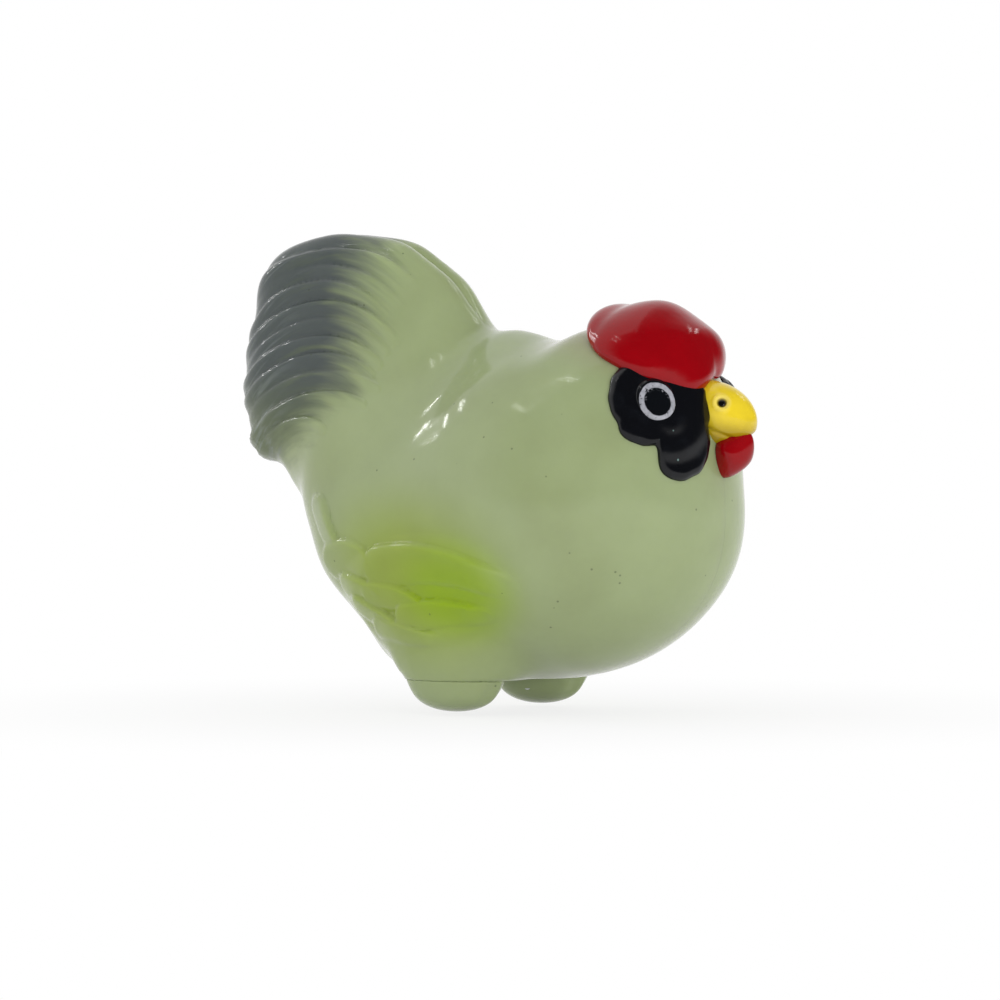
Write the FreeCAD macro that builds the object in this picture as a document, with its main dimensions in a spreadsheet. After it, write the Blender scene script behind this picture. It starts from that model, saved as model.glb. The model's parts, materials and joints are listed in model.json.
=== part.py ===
import FreeCAD
import Part
import math
import os
import re

import Sketcher
from FreeCAD import Placement, Rotation, Vector
from fcgear import fcgear, involute

# A wind-up hopping chicken: a hollow two-part body holds a spring motor on two plates.
# The motor turns a shaft with a crank disc at each end, and the crank pins carry the legs.
# Frame: +X is the beak, +Y the bird's left side, +Z up; the feet stand on Z = 0.

doc = FreeCAD.newDocument("hopping_chicken")

# ---------------------------------------------------------------- driving sizes
# The body is a smooth union of these rounded lumps. Each row holds the centre (x, z), the half
# lengths along, across and up, the lean of its nose in degrees, the distance of the lump from the
# middle plane (it is doubled left and right) and the width over which it blends into the others.
LUMP_FIELDS = ("x", "z", "long", "wide", "tall", "lean", "apart", "blend")
LUMPS = {
    "breast": (9.6, 24.6, 20.8, 20.5, 20.2, 0, 0, 1),
    "rump": (-9.2, 22.5, 13.6, 15.0, 21.6, 35, 0, 8),
    "saddle": (-9.0, 35.0, 13.0, 9.0, 12.2, -40, 0, 7),
    "head": (18.5, 35.5, 10.5, 11.5, 9.8, 0, 0, 6),
    "tail": (-18.9, 42.9, 14.6, 6.2, 14.4, -42, 1.6, 5),
    "tailend": (-23.8, 37.4, 9.0, 6.0, 9.4, 0, 1.6, 5),
    "hip": (-0.2, 7.0, 6.8, 4.6, 7.5, 0, 10.2, 5),
}
SIZES = {
    # body shells
    "wall": (1.6, "thickness of the body shells"),
    "belly": (4.2, "height of the flat underside above the ground"),
    "parting": (0.1, "gap between the two shells on the middle plane"),
    "seat": (0.1, "gap under pieces that sit on the body"),
    "push_fit": (0.03, "radial gap of pieces pressed together"),
    "run_fit": (0.05, "radial gap of a turning pivot in its bearing"),
    "room": (0.4, "least gap round pieces that swing past each other"),
    # face
    "comb_x": (21.2, "middle of the comb"),
    "comb_z": (43.4, "middle of the comb"),
    "comb_long": (7.9, "half length of the comb"),
    "comb_wide": (9.0, "half width of the comb"),
    "comb_tall": (5.4, "half height of the comb"),
    "comb_lean": (24, "nose-down lean of the comb"),
    "comb_peg": (1.5, "radius of the comb's peg"),
    "beak_x": (28.8, "middle of the beak"),
    "beak_z": (36.2, "middle of the beak"),
    "beak_long": (5.3, "half length of the beak"),
    "beak_wide": (3.6, "half width of the beak"),
    "beak_tall": (3.2, "half height of the beak"),
    "beak_lean": (14, "nose-down lean of the beak"),
    "beak_peg": (1.4, "radius of the beak's peg"),
    "wattle_x": (30.8, "middle of the wattle"),
    "wattle_z": (31.2, "middle of the wattle"),
    "wattle_long": (2.7, "half length of the wattle"),
    "wattle_wide": (2.3, "half width of the wattle"),
    "wattle_tall": (2.8, "half height of the wattle"),
    "wattle_peg": (1.0, "radius of the wattle's peg"),
    "peg_grip": (3.4, "length of each peg inside the body's skin"),
    "face_turn": (40, "direction that the black cheek looks in, from the side to the front"),
    "cheek_proud": (0.9, "height of the black cheek above the body"),
    "cheek_root": (18.0, "depth in the body from which the cheek lobes start"),
    "cheek_side": (13.6, "cheek lobe, along the cheek"),
    "cheek_z": (36.9, "cheek lobe"),
    "cheek_round": (5.1, "radius of the cheek lobe"),
    "bill_side": (17.6, "lobe beside the beak, along the cheek"),
    "bill_z": (36.0, "lobe beside the beak"),
    "bill_round": (3.6, "radius of the lobe beside the beak"),
    "lappet_side": (17.3, "hanging lobe, along the cheek"),
    "lappet_z": (31.1, "hanging lobe"),
    "lappet_round": (3.4, "radius of the hanging lobe"),
    "eye_turn": (50, "direction that the eye looks in, from the side to the front"),
    "eye_side": (10.0, "place of the eye along its own face"),
    "eye_out": (25.6, "distance of the eye from the middle, along its own look"),
    "eye_z": (37.1, "height of the eye"),
    "eye_round": (2.25, "radius of the eye"),
    "eye_deep": (1.6, "half thickness of the eye's dome"),
    "eye_stem": (0.8, "radius of the eye's stem"),
    "eye_grip": (4.0, "length of the eye's stem behind its middle"),
    # shell screws
    "screw_shank": (1.0, "radius of a shell screw"),
    "screw_head": (1.8, "radius of its head"),
    "screw_cap": (1.2, "height of its head"),
    "screw_bite": (6.0, "depth of the screw in the right shell"),
    "screw_floor": (3.0, "thickness of the left boss under the head"),
    "screw_slot": (0.5, "width of the driver slot"),
    "boss_skin": (0.9, "wall of a screw boss round its well"),
    "front_screw_x": (21.5, "screw in the breast"),
    "front_screw_z": (21.0, "screw in the breast"),
    "neck_screw_x": (13.5, "screw in the neck"),
    "neck_screw_z": (39.5, "screw in the neck"),
    "tail_screw_x": (-18.5, "screw in the tail"),
    "tail_screw_z": (41.0, "screw in the tail"),
    # motor frame
    "frame_half": (6.5, "from the middle plane to a plate's inner face"),
    "plate": (0.8, "thickness of a motor plate"),
    "plate_edge": (2.0, "plate left round a pillar"),
    "pillar": (1.25, "radius of a pillar"),
    "stud": (0.8, "radius of a pillar's stud"),
    "stud_end": (10.3, "from the middle plane to the end of a stud"),
    "nut_round": (1.7, "corner radius of a nut"),
    "nut": (1.2, "height of a nut"),
    "socket_near": (8.9, "from the middle plane to the face of a stud socket"),
    "socket_skin": (1.1, "wall of a stud socket"),
    "rear_low_x": (-13.2, "lower rear pillar"),
    "rear_low_z": (17.6, "lower rear pillar"),
    "rear_high_x": (-13.0, "upper rear pillar"),
    "rear_high_z": (34.5, "upper rear pillar"),
    "front_low_x": (14.5, "lower front pillar"),
    "front_low_z": (11.5, "lower front pillar"),
    "front_high_x": (12.0, "upper front pillar"),
    "front_high_z": (32.0, "upper front pillar"),
    # gear train
    "tooth_size": (0.5, "gear module"),
    "tooth_shift": (0.4, "profile shift of pinions, taken off the wheels"),
    "mesh_gap": (0.1, "extra centre distance of each mesh"),
    "great_teeth": (32, "teeth of the great wheel"),
    "second_leaves": (8, "leaves of the second pinion"),
    "second_teeth": (30, "teeth of the second wheel"),
    "hop_leaves": (10, "leaves of the hop pinion"),
    "crank_teeth": (24, "teeth of the crank wheel"),
    "governor_leaves": (8, "leaves of the governor pinion"),
    "hop_x": (0.0, "hop shaft"),
    "hop_z": (14.0, "hop shaft"),
    "second_lean": (74, "direction from the hop shaft to the second arbor"),
    "great_lean": (166, "direction from the second arbor to the winding arbor"),
    "governor_lean": (-10, "direction from the hop shaft to the governor"),
    "verge_lean": (55, "direction from the governor to the verge"),
    "great_y": (0.6, "right face of the great wheel"),
    "great_wide": (1.2, "thickness of the great wheel"),
    "second_pinion_y": (0.4, "right face of the second pinion"),
    "second_pinion_wide": (1.8, "length of the second pinion"),
    "second_y": (2.6, "right face of the second wheel"),
    "second_wide": (1.0, "thickness of the second wheel"),
    "hop_pinion_y": (2.4, "right face of the hop pinion"),
    "hop_pinion_wide": (1.4, "length of the hop pinion"),
    "crank_y": (4.4, "right face of the crank wheel"),
    "crank_wide": (1.0, "thickness of the crank wheel"),
    "governor_y": (4.2, "right face of the governor pinion"),
    "governor_wide": (1.4, "length of the governor pinion"),
    # arbors
    "end_play": (0.2, "gap between an arbor's shoulder and a plate"),
    "pivot_out": (0.6, "length of a pivot beyond its plate"),
    "winding_body": (1.3, "radius of the winding arbor"),
    "winding_pivot": (1.0, "radius of the winding arbor's ends"),
    "second_body": (0.9, "radius of the second arbor"),
    "second_pivot": (0.6, "radius of its pivots"),
    "hop_body": (1.2, "radius of the hop shaft"),
    "governor_body": (0.8, "radius of the governor arbor"),
    "governor_pivot": (0.5, "radius of its pivots"),
    "verge_body": (0.8, "radius of the verge arbor"),
    "verge_pivot": (0.5, "radius of its pivots"),
    # spring, ratchet and knob
    "spring_wide": (4.9, "width of the mainspring"),
    "spring_thick": (0.3, "thickness of the mainspring"),
    "spring_round": (7.6, "outer radius of the wound spring"),
    "spring_turns": (6, "turns of the mainspring"),
    "ratchet_gap": (0.2, "gap between the ratchet and the great wheel"),
    "ratchet_wide": (1.0, "thickness of the ratchet wheel"),
    "ratchet_tip": (3.4, "tip radius of the ratchet wheel"),
    "ratchet_root": (2.7, "root radius of the ratchet wheel"),
    "ratchet_teeth": (12, "teeth of the ratchet wheel"),
    "click_place": (200, "direction of the click's tip from the winding arbor"),
    "click_swing": (50, "angle from the click's tip to its rivet, at the arbor"),
    "click_reach": (5.9, "from the winding arbor to the click's rivet"),
    "click_eye": (1.1, "radius of the click round its rivet"),
    "click_nose": (0.25, "height of the click's tip over the root of the ratchet"),
    "click_back": (0.35, "height of the click's back over the tips of the ratchet"),
    "click_waist": (0.9, "half width of the click near its rivet"),
    "rivet": (0.5, "radius of the click's rivet and of its spring's post"),
    "rivet_head": (0.8, "radius of the rivet's head"),
    "leaf": (0.25, "thickness of the click spring"),
    "click_spring_swing": (30, "angle from the click's tip to its spring's post, at the arbor"),
    "collar_round": (1.9, "radius of the collar that keeps the great wheel on"),
    "collar_wide": (0.5, "thickness of the collar"),
    "knob_round": (5.4, "radius of the winding knob"),
    "knob_y": (16.5, "inner face of the knob"),
    "knob_wide": (4.4, "thickness of the knob"),
    "knob_cap": (0.9, "knob left over the arbor's end"),
    "knob_ribs": (18, "grip grooves round the knob"),
    "knob_groove": (0.5, "radius of a grip groove"),
    "knob_edge": (0.5, "rounding of the knob's outer edge"),
    "land_skin": (1.6, "wall behind the knob's recess"),
    # governor
    "star_y": (-2.2, "right face of the star wheel"),
    "star_wide": (1.0, "thickness of the star wheel"),
    "star_tip": (4.0, "tip radius of the star wheel"),
    "star_root": (2.9, "root radius of the star wheel"),
    "star_teeth": (12, "teeth of the star wheel"),
    "verge_reach": (6.8, "from the governor to the verge arbor"),
    "verge_span": (52.5, "half the angle between the pallets, seen from the governor"),
    "verge_hub": (1.6, "radius of the verge's hub"),
    "pallet_gap": (0.12, "gap between a pallet and the star's tips at mid swing"),
    "pallet_wide": (0.3, "width of a pallet's tip"),
    "pallet_long": (1.5, "length of a pallet"),
    "verge_arm": (0.9, "width of the verge's arms"),
    # cranks and legs
    "throw": (1.6, "distance of a crank pin from the hop shaft"),
    "disc_round": (3.4, "radius of a crank disc"),
    "disc_gap": (0.3, "gap between a plate and a crank disc"),
    "disc_wide": (1.2, "thickness of a crank disc"),
    "crank_pin": (0.8, "radius of a crank pin"),
    "pin_head": (1.3, "radius of a crank pin's head"),
    "pin_cap": (0.5, "height of a crank pin's head"),
    "leg_gap": (0.2, "gap on each side of a leg"),
    "leg_wide": (2.2, "half width of a leg"),
    "leg_thick": (1.6, "thickness of a leg"),
    "leg_eye": (2.8, "radius of a leg round the crank pin"),
    "guide_z": (21.2, "height of the guide pins"),
    "guide_pin": (0.8, "radius of a guide pin"),
    "guide_skin": (1.3, "leg left round the guide window"),
    "leg_foot_z": (1.2, "height of the leg's lower end in the foot"),
    "foot_gap": (0.25, "gap between a foot and the underside"),
    "foot_pin": (0.5, "radius of a foot pin"),
    "foot_pin_z": (2.7, "height of a foot pin"),
    "foot_pin_out": (2.4, "how far a foot pin stands out of the leg on each side"),
}
PLACES = {
    "great_reach": "tooth_size * (great_teeth + second_leaves) / 2 + mesh_gap",
    "second_reach": "tooth_size * (second_teeth + hop_leaves) / 2 + mesh_gap",
    "governor_reach": "tooth_size * (crank_teeth + governor_leaves) / 2 + mesh_gap",
    "second_x": "hop_x + second_reach * cos(second_lean)",
    "second_z": "hop_z + second_reach * sin(second_lean)",
    "great_x": "second_x + great_reach * cos(great_lean)",
    "great_z": "second_z + great_reach * sin(great_lean)",
    "governor_x": "hop_x + governor_reach * cos(governor_lean)",
    "governor_z": "hop_z + governor_reach * sin(governor_lean)",
    "verge_x": "governor_x + verge_reach * cos(verge_lean)",
    "verge_z": "governor_z + verge_reach * sin(verge_lean)",
    "plate_out": "frame_half + plate",
    "pivot_end": "frame_half + plate + pivot_out",
    "shoulder": "frame_half - end_play",
    "ratchet_y": "great_y - ratchet_gap - ratchet_wide",
    "disc_y": "plate_out + disc_gap",
    "disc_out": "disc_y + disc_wide",
    "leg_y": "disc_out + leg_gap",
    "leg_out": "leg_y + leg_thick",
    "crank_pin_z": "hop_z + throw",
    "window_z": "guide_z + throw",
    "window": "guide_pin + throw + room",
    "foot_top": "belly - foot_gap",
    "land_y": "knob_y - room",
}
REACH = 80      # longer than any part of the body; only cutting tools are this long
HALVINGS = 22   # steps of the search for the body's surface
WORD = re.compile(r"[a-z][a-z0-9_]*")

sizes = doc.addObject("Spreadsheet::Sheet", "sizes")
for lump, row in LUMPS.items():
    for field, number in zip(LUMP_FIELDS, row):
        SIZES[lump + "_" + field] = (number, lump + " of the body, " + field)
for line, (alias, (number, meaning)) in enumerate(SIZES.items(), start=1):
    sizes.set("A%d" % line, alias)
    sizes.set("B%d" % line, str(number))
    sizes.set("C%d" % line, meaning)
    sizes.setAlias("B%d" % line, alias)
doc.recompute()


def link(text):
    """Point each named value in an expression at the sheet that holds it."""
    def owned(found):
        word = found.group(0)
        if word in SIZES:
            return "sizes." + word
        if word in PLACES:
            return "places." + word
        return word
    return WORD.sub(owned, text)


places = doc.addObject("Spreadsheet::Sheet", "places")
for line, (alias, formula) in enumerate(PLACES.items(), start=1):
    places.set("A%d" % line, alias)
    places.setAlias("B%d" % line, alias)
for line, formula in enumerate(PLACES.values(), start=1):
    places.set("B%d" % line, "=" + link(formula).replace("places.", ""))
doc.recompute()


def size(alias):
    """The number behind an alias of either sheet."""
    sheet = sizes if alias in SIZES else places
    return float(sheet.get(alias))


# ---------------------------------------------------------------- document helpers
def bind(item, **rules):
    """Tie properties of an object to the sheets; x, y and z are its place."""
    for name, rule in rules.items():
        target = "Placement.Base." + name if name in ("x", "y", "z") else name
        item.setExpression(target, link(rule))
    return item


def make(kind, name, turn=None, **rules):
    """Add a document object, turned if asked, with its sizes tied to the sheets."""
    item = doc.addObject(kind, name)
    if turn:
        item.Placement = Placement(Vector(), turn)
    return bind(item, **rules)


ALONG_Y = Rotation(Vector(1, 0, 0), -90)
ALONG_X = Rotation(Vector(0, 1, 0), 90)


def rod(name, radius, x, z, low, high):
    """A round bar along Y, from y = low to y = high."""
    return make("Part::Cylinder", name, ALONG_Y, Radius=radius, Height="(%s) - (%s)" % (high, low),
                x=x, y=low, z=z)


def pin_at(name, place, low, high, radius):
    """A pin along Y at a worked-out place."""
    item = make("Part::Cylinder", name, ALONG_Y, Radius=radius, Height="(%s) - (%s)" % (high, low),
                y=low)
    return bind(item, **place)


def block(name, x, y, z):
    """A box between pairs of coordinates."""
    return make("Part::Box", name, Length="(%s) - (%s)" % (x[1], x[0]),
                Width="(%s) - (%s)" % (y[1], y[0]), Height="(%s) - (%s)" % (z[1], z[0]),
                x=x[0], y=y[0], z=z[0])


def egg(name, piece, grow="0", lean=None, y="0"):
    """An ellipsoid with a piece's half lengths, grown on every side."""
    item = make("Part::Ellipsoid", name, Rotation(Vector(0, 1, 0), 10) if lean else None,
                Radius1=piece + "_tall + " + grow, Radius2=piece + "_long + " + grow,
                Radius3=piece + "_wide + " + grow, x=piece + "_x", y=y, z=piece + "_z")
    if lean:
        item.setExpression("Placement.Rotation.Angle", link(lean))
    item.Angle1, item.Angle2, item.Angle3 = -90, 90, 360
    return item


def cut(name, base, tool):
    item = doc.addObject("Part::Cut", name)
    item.Base, item.Tool = base, tool
    return item


def common(name, *pieces):
    item = doc.addObject("Part::MultiCommon", name)
    item.Shapes = list(pieces)
    return item


def fuse(name, *pieces):
    item = doc.addObject("Part::MultiFuse", name)
    item.Shapes = list(pieces)
    return item


def group(name, *pieces):
    """Several separate solids of one kind in one node."""
    item = doc.addObject("Part::Compound", name)
    item.Links = list(pieces)
    return item


def mirror(name, source):
    """The same piece on the other side of the middle plane."""
    item = doc.addObject("Part::Mirroring", name)
    item.Source, item.Normal, item.Base = source, Vector(0, 1, 0), Vector()
    return item


def solid(name, shape, **rules):
    """A piece whose outline is worked out, placed by the sheets."""
    item = doc.addObject("Part::Feature", name)
    item.Shape = shape
    return bind(item, **rules)


def prism(points, thick):
    """A flat piece from an outline of (x, z) points, thick along +Y."""
    corners = [Vector(x, 0, z) for x, z in points]
    face = Part.Face(Part.makePolygon(corners + corners[:1]))
    return face.extrude(Vector(0, thick, 0))


def strip(start, end, width, thick):
    """A flat bar between two (x, z) points."""
    dx, dz = end[0] - start[0], end[1] - start[1]
    length = math.hypot(dx, dz)
    nx, nz = -dz / length * width / 2, dx / length * width / 2
    return prism([(start[0] + nx, start[1] + nz), (end[0] + nx, end[1] + nz),
                  (end[0] - nx, end[1] - nz), (start[0] - nx, start[1] - nz)], thick)


def polar(radius, angle, x=0.0, z=0.0):
    """The (x, z) point at a radius and an angle, from +X towards +Z."""
    turn = math.radians(angle)
    return x + radius * math.cos(turn), z + radius * math.sin(turn)


def pierced(shape, radius):
    """Bore a flat piece through at its own axis."""
    hole = Part.makeCylinder(radius, 2 * REACH, Vector(0, -REACH, 0), Vector(0, 1, 0))
    return shape.cut(hole)


NODES = []


def node(item, label):
    """Name a finished piece; the label is also its file."""
    item.Label = label
    NODES.append(item)
    return item


# ---------------------------------------------------------------- body form
def lump_distance(row, x, y, z):
    """About how far a point lies outside one lump, negative inside."""
    cx, cz, along, across, up, lean, apart, _ = row
    turn = math.radians(lean)
    dx, dz = x - cx, z - cz
    u = dx * math.cos(turn) + dz * math.sin(turn)
    w = dz * math.cos(turn) - dx * math.sin(turn)
    v = abs(y) - apart
    k = math.sqrt((u / along) ** 2 + (v / across) ** 2 + (w / up) ** 2)
    slope = math.sqrt((u / along ** 2) ** 2 + (v / across ** 2) ** 2 + (w / up ** 2) ** 2)
    return k * (k - 1) / (slope + 1e-9)


def body_distance(rows, x, y, z):
    """About how far a point lies outside the whole body, with the lumps blended."""
    total = lump_distance(rows[0], x, y, z)
    for row in rows[1:]:
        other = lump_distance(row, x, y, z)
        near = max(row[7] - abs(total - other), 0) / row[7]
        total = min(total, other) - near * near * row[7] / 4
    return total


def crossing(inside, start, stop):
    """Where a line leaves the body, between an inner and an outer place on it."""
    for _ in range(HALVINGS):
        middle = (start + stop) / 2
        if inside(middle):
            start = middle
        else:
            stop = middle
    return (start + stop) / 2


def spans(inside, low, high, step):
    """The first and last places on a line that are inside."""
    count = int((high - low) / step)
    hits = [low + step * i for i in range(count + 1) if inside(low + step * i)]
    return (hits[0], hits[-1]) if hits else None


def body_form(level):
    """A solid through cross sections of the body, grown by level on every side."""
    rows = [tuple(size(lump + "_" + field) for field in LUMP_FIELDS) for lump in LUMPS]
    stations, around, step, trim = 23, 16, 0.5, 0.12

    def heights(x):
        return spans(lambda z: body_distance(rows, x, 0, z) < level, 0, REACH, step)

    xs = [-REACH + step * i for i in range(int(2 * REACH / step)) if heights(-REACH + step * i)]
    rear = crossing(lambda x: bool(heights(x)), xs[0], xs[0] - step) + trim
    front = crossing(lambda x: bool(heights(x)), xs[-1], xs[-1] + step) - trim
    wires = []
    for i in range(stations):
        x = (rear + front) / 2 - (front - rear) / 2 * math.cos(math.pi * i / (stations - 1))
        low, high = heights(x)
        middle, tall = (low + high) / 2, max((high - low) / 2, step)

        def edge(sy, sz):
            def inside(r):
                return body_distance(rows, x, r * sy, middle + r * sz) < level
            hits = spans(inside, 0, REACH / 2, step)
            return crossing(inside, hits[1], hits[1] + step)

        wide = edge(1, 0)
        half = []
        for j in range(around + 1):
            turn = math.pi * j / around
            sy, sz = wide * math.sin(turn), -tall * math.cos(turn)
            long = math.hypot(sy, sz)
            r = edge(sy / long, sz / long) / long
            half.append((r * sy, middle + r * sz))
        ring = [Vector(x, y, z) for y, z in half]
        ring += [Vector(x, -y, z) for y, z in reversed(half[1:-1])]
        curve = Part.BSplineCurve()
        curve.interpolate(ring, PeriodicFlag=True)
        wires.append(Part.Wire(curve.toShape()))
    return Part.makeLoft(wires, True, False, False, 3)


outer = solid("outer_form", body_form(0))
hollow = solid("hollow_form", body_form(-size("wall")))
seat_form = solid("seat_form", body_form(size("seat")))
proud_form = solid("proud_form", body_form(size("cheek_proud")))

# ---------------------------------------------------------------- face
comb_egg = egg("comb_egg", "comb", lean="comb_lean")
comb_peg = make("Part::Cylinder", "comb_peg", Radius="comb_peg", Height="peg_grip + comb_tall / 2",
                x="comb_x", z="comb_z - peg_grip")
comb_cap = cut("comb_cap", comb_egg, seat_form)
comb = node(fuse("comb", comb_cap, comb_peg), "comb")


def front_peg(piece, grow):
    """A peg along X from inside the body's front into the middle of a face piece."""
    return make("Part::Cylinder", piece + "_peg" + ("_hole" if grow != "0" else ""), ALONG_X,
                Radius=piece + "_peg + " + grow, Height="peg_grip + " + piece + "_long / 2",
                x=piece + "_x - peg_grip", z=piece + "_z")


comb_shadow = egg("comb_shadow", "comb", "seat", lean="comb_lean")
beak_seated = cut("beak_seated", egg("beak_egg", "beak", lean="beak_lean"), seat_form)
beak_cap = cut("beak_cap", beak_seated, comb_shadow)
beak = node(fuse("beak", beak_cap, front_peg("beak", "0")), "beak")
wattle_egg = egg("wattle_egg", "wattle")
beak_shadow = egg("beak_shadow", "beak", "seat", lean="beak_lean")
wattle_cap = cut("wattle_cap", cut("wattle_seated", wattle_egg, seat_form), beak_shadow)
wattle = node(fuse("wattle", wattle_cap, front_peg("wattle", "0")), "wattle")

lobes = [rod(name + "_lobe", name + "_round", name + "_side", name + "_z", "-%d" % REACH, "-cheek_root")
         for name in ("cheek", "bill", "lappet")]
lobe_tool = fuse("lobe_tool", *lobes)
lobe_tool.Placement = Placement(Vector(), Rotation(Vector(0, 0, 1), 10))
lobe_tool.setExpression("Placement.Rotation.Angle", "sizes.face_turn")


def eye_shape(grow, name):
    """The right eye, a shallow dome with a stem, grown on every side."""
    dome = make("Part::Ellipsoid", name + "_dome", Radius1="eye_round + " + grow,
                Radius2="eye_round + " + grow, Radius3="eye_deep + " + grow,
                x="eye_side", y="-eye_out", z="eye_z")
    dome.Angle1, dome.Angle2, dome.Angle3 = -90, 90, 360
    stem = rod(name + "_stem", "eye_stem + " + grow, "eye_side", "eye_z", "-eye_out",
               "-eye_out + eye_grip + " + grow)
    item = fuse(name, dome, stem)
    item.Placement = Placement(Vector(), Rotation(Vector(0, 0, 1), 10))
    item.setExpression("Placement.Rotation.Angle", "sizes.eye_turn")
    return item


eye_right = node(eye_shape("0", "eye_right"), "eye_right")
eye_left = node(mirror("eye_left", eye_right), "eye_left")
eye_hole = eye_shape("push_fit", "eye_hole")
cheek = cut("cheek_skin", common("cheek_blank", lobe_tool, proud_form), seat_form)
for name, tool in (("comb", comb_shadow), ("beak", beak_shadow),
                   ("wattle", egg("wattle_shadow", "wattle", "seat")), ("eye", eye_hole)):
    cheek = cut("cheek_clear_of_" + name, cheek, tool)
cheek_right = node(cheek, "face_patch_right")
cheek_left = node(mirror("cheek_left", cheek_right), "face_patch_left")

# ---------------------------------------------------------------- body shells
PILLARS = ("rear_low", "rear_high", "front_low", "front_high")
SCREWS = ("front_screw", "neck_screw", "tail_screw")


def side_rod(name, side, radius, place, near, far):
    """A round bar across one side of the body; side is -1 for right and 1 for left."""
    low, high = (near, far) if side > 0 else ("-(%s)" % far, "-(%s)" % near)
    return rod(name, radius, place + "_x", place + "_z", low, high)


def side_block(name, side, x, y, z):
    low, high = y if side > 0 else ("-(%s)" % y[1], "-(%s)" % y[0])
    return block(name, x, (low, high), z)


def shell(side, tag):
    """One half of the body, hollow, with its bosses, sockets and holes."""
    far = str(REACH)
    half_box = side_block("half_box_" + tag, side, ("-" + far, far), ("parting / 2", far),
                          ("belly", far))
    half = common("half_" + tag, outer, half_box)
    room_box = block("room_box_" + tag, ("-" + far, far), ("-" + far, far), ("belly + wall", far))
    room = common("room_" + tag, hollow, room_box)
    well = "screw_head + 2 * run_fit"
    bosses = [side_rod("socket_%s_%s" % (p, tag), side, "stud + run_fit + socket_skin", p,
                       "socket_near", far) for p in PILLARS]
    bosses += [side_rod("boss_%s_%s" % (s, tag), side, well + " + boss_skin", s, "0", far)
               for s in SCREWS]
    holes = [side_rod("bore_%s_%s" % (p, tag), side, "stud + run_fit", p, "0",
                      "stud_end + end_play") for p in PILLARS]
    if side > 0:
        bosses.append(rod("land", "knob_round + room + land_skin", "great_x", "great_z",
                          "land_y - land_skin", far))
        holes += [rod("recess", "knob_round + room", "great_x", "great_z", "land_y", far),
                  rod("arbor_bore", "winding_pivot + room", "great_x", "great_z", "0", far)]
        for s in SCREWS:
            holes += [side_rod("well_" + s, side, well, s, "screw_floor", far),
                      side_rod("pass_" + s, side, "screw_shank + run_fit", s, "0", far)]
    else:
        holes += [side_rod("pilot_" + s, side, "screw_shank + push_fit", s, "0",
                           "screw_bite + end_play") for s in SCREWS]
    holes.append(side_block("leg_slot_" + tag, side,
                            ("hop_x - leg_wide - throw - room", "hop_x + leg_wide + throw + room"),
                            ("leg_y - room", "leg_out + room"), ("0", "belly + 2 * wall")))
    holes += [make("Part::Cylinder", "comb_hole_" + tag, Radius="comb_peg + push_fit",
                   Height=far, x="comb_x", z="comb_z - peg_grip - push_fit"),
              front_peg("beak", "push_fit"), front_peg("wattle", "push_fit"),
              eye_hole if side < 0 else mirror("eye_hole_left", eye_hole)]
    skin = cut("skin_" + tag, half, cut("void_" + tag, room, fuse("bosses_" + tag, *bosses)))
    return cut("shell_" + tag, skin, fuse("holes_" + tag, *holes))


node(shell(-1, "right"), "body_shell_right")
node(shell(1, "left"), "body_shell_left")


def shell_screw(place):
    """A slotted screw from the left shell into the right one."""
    x, z = place + "_x", place + "_z"
    head = rod("head_" + place, "screw_head", x, z, "screw_floor", "screw_floor + screw_cap")
    shank = rod("shank_" + place, "screw_shank", x, z, "-screw_bite", "screw_floor")
    slot = block("slot_" + place, (x + " - screw_slot / 2", x + " + screw_slot / 2"),
                 ("screw_floor + screw_cap / 2", "screw_floor + 2 * screw_cap"),
                 (z + " - screw_head", z + " + screw_head"))
    return cut("screw_" + place, fuse("blank_" + place, head, shank), slot)


node(group("shell_screws", *[shell_screw(place) for place in SCREWS]), "shell_screws")

# ---------------------------------------------------------------- motor frame
ARBORS = {"great": "winding_pivot", "second": "second_pivot", "hop": "hop_body",
          "governor": "governor_pivot", "verge": "verge_pivot"}


def plate_sketch(body, points, holes):
    """The plate's outline and its round holes, every place tied to the sheets."""
    sketch = body.newObject("Sketcher::SketchObject", "outline")
    plane = [f for f in body.Origin.OriginFeatures if f.Role == "XZ_Plane"][0]
    sketch.AttachmentSupport, sketch.MapMode = (plane, ""), "FlatFace"
    start = [(10 * math.cos(i), 10 * math.sin(i)) for i in range(len(points))]
    for i, point in enumerate(start):
        after = start[(i + 1) % len(start)]
        sketch.addGeometry(Part.LineSegment(Vector(*point, 0), Vector(*after, 0)))
    for i in range(len(points)):
        sketch.addConstraint(Sketcher.Constraint("Coincident", i, 2, (i + 1) % len(points), 1))
    for i, (x, z) in enumerate(points):
        for axis, rule in (("DistanceX", x), ("DistanceY", z)):
            at = sketch.addConstraint(Sketcher.Constraint(axis, -1, 1, i, 1, 1.0))
            sketch.setExpression("Constraints[%d]" % at, link(rule))
    for x, z, radius in holes:
        ring = sketch.addGeometry(Part.Circle(Vector(1, 1, 0), Vector(0, 0, 1), 1))
        for axis, rule in (("DistanceX", x), ("DistanceY", z)):
            at = sketch.addConstraint(Sketcher.Constraint(axis, -1, 1, ring, 3, 1.0))
            sketch.setExpression("Constraints[%d]" % at, link(rule))
        at = sketch.addConstraint(Sketcher.Constraint("Radius", ring, 1.0))
        sketch.setExpression("Constraints[%d]" % at, link(radius))
    return sketch


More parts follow.
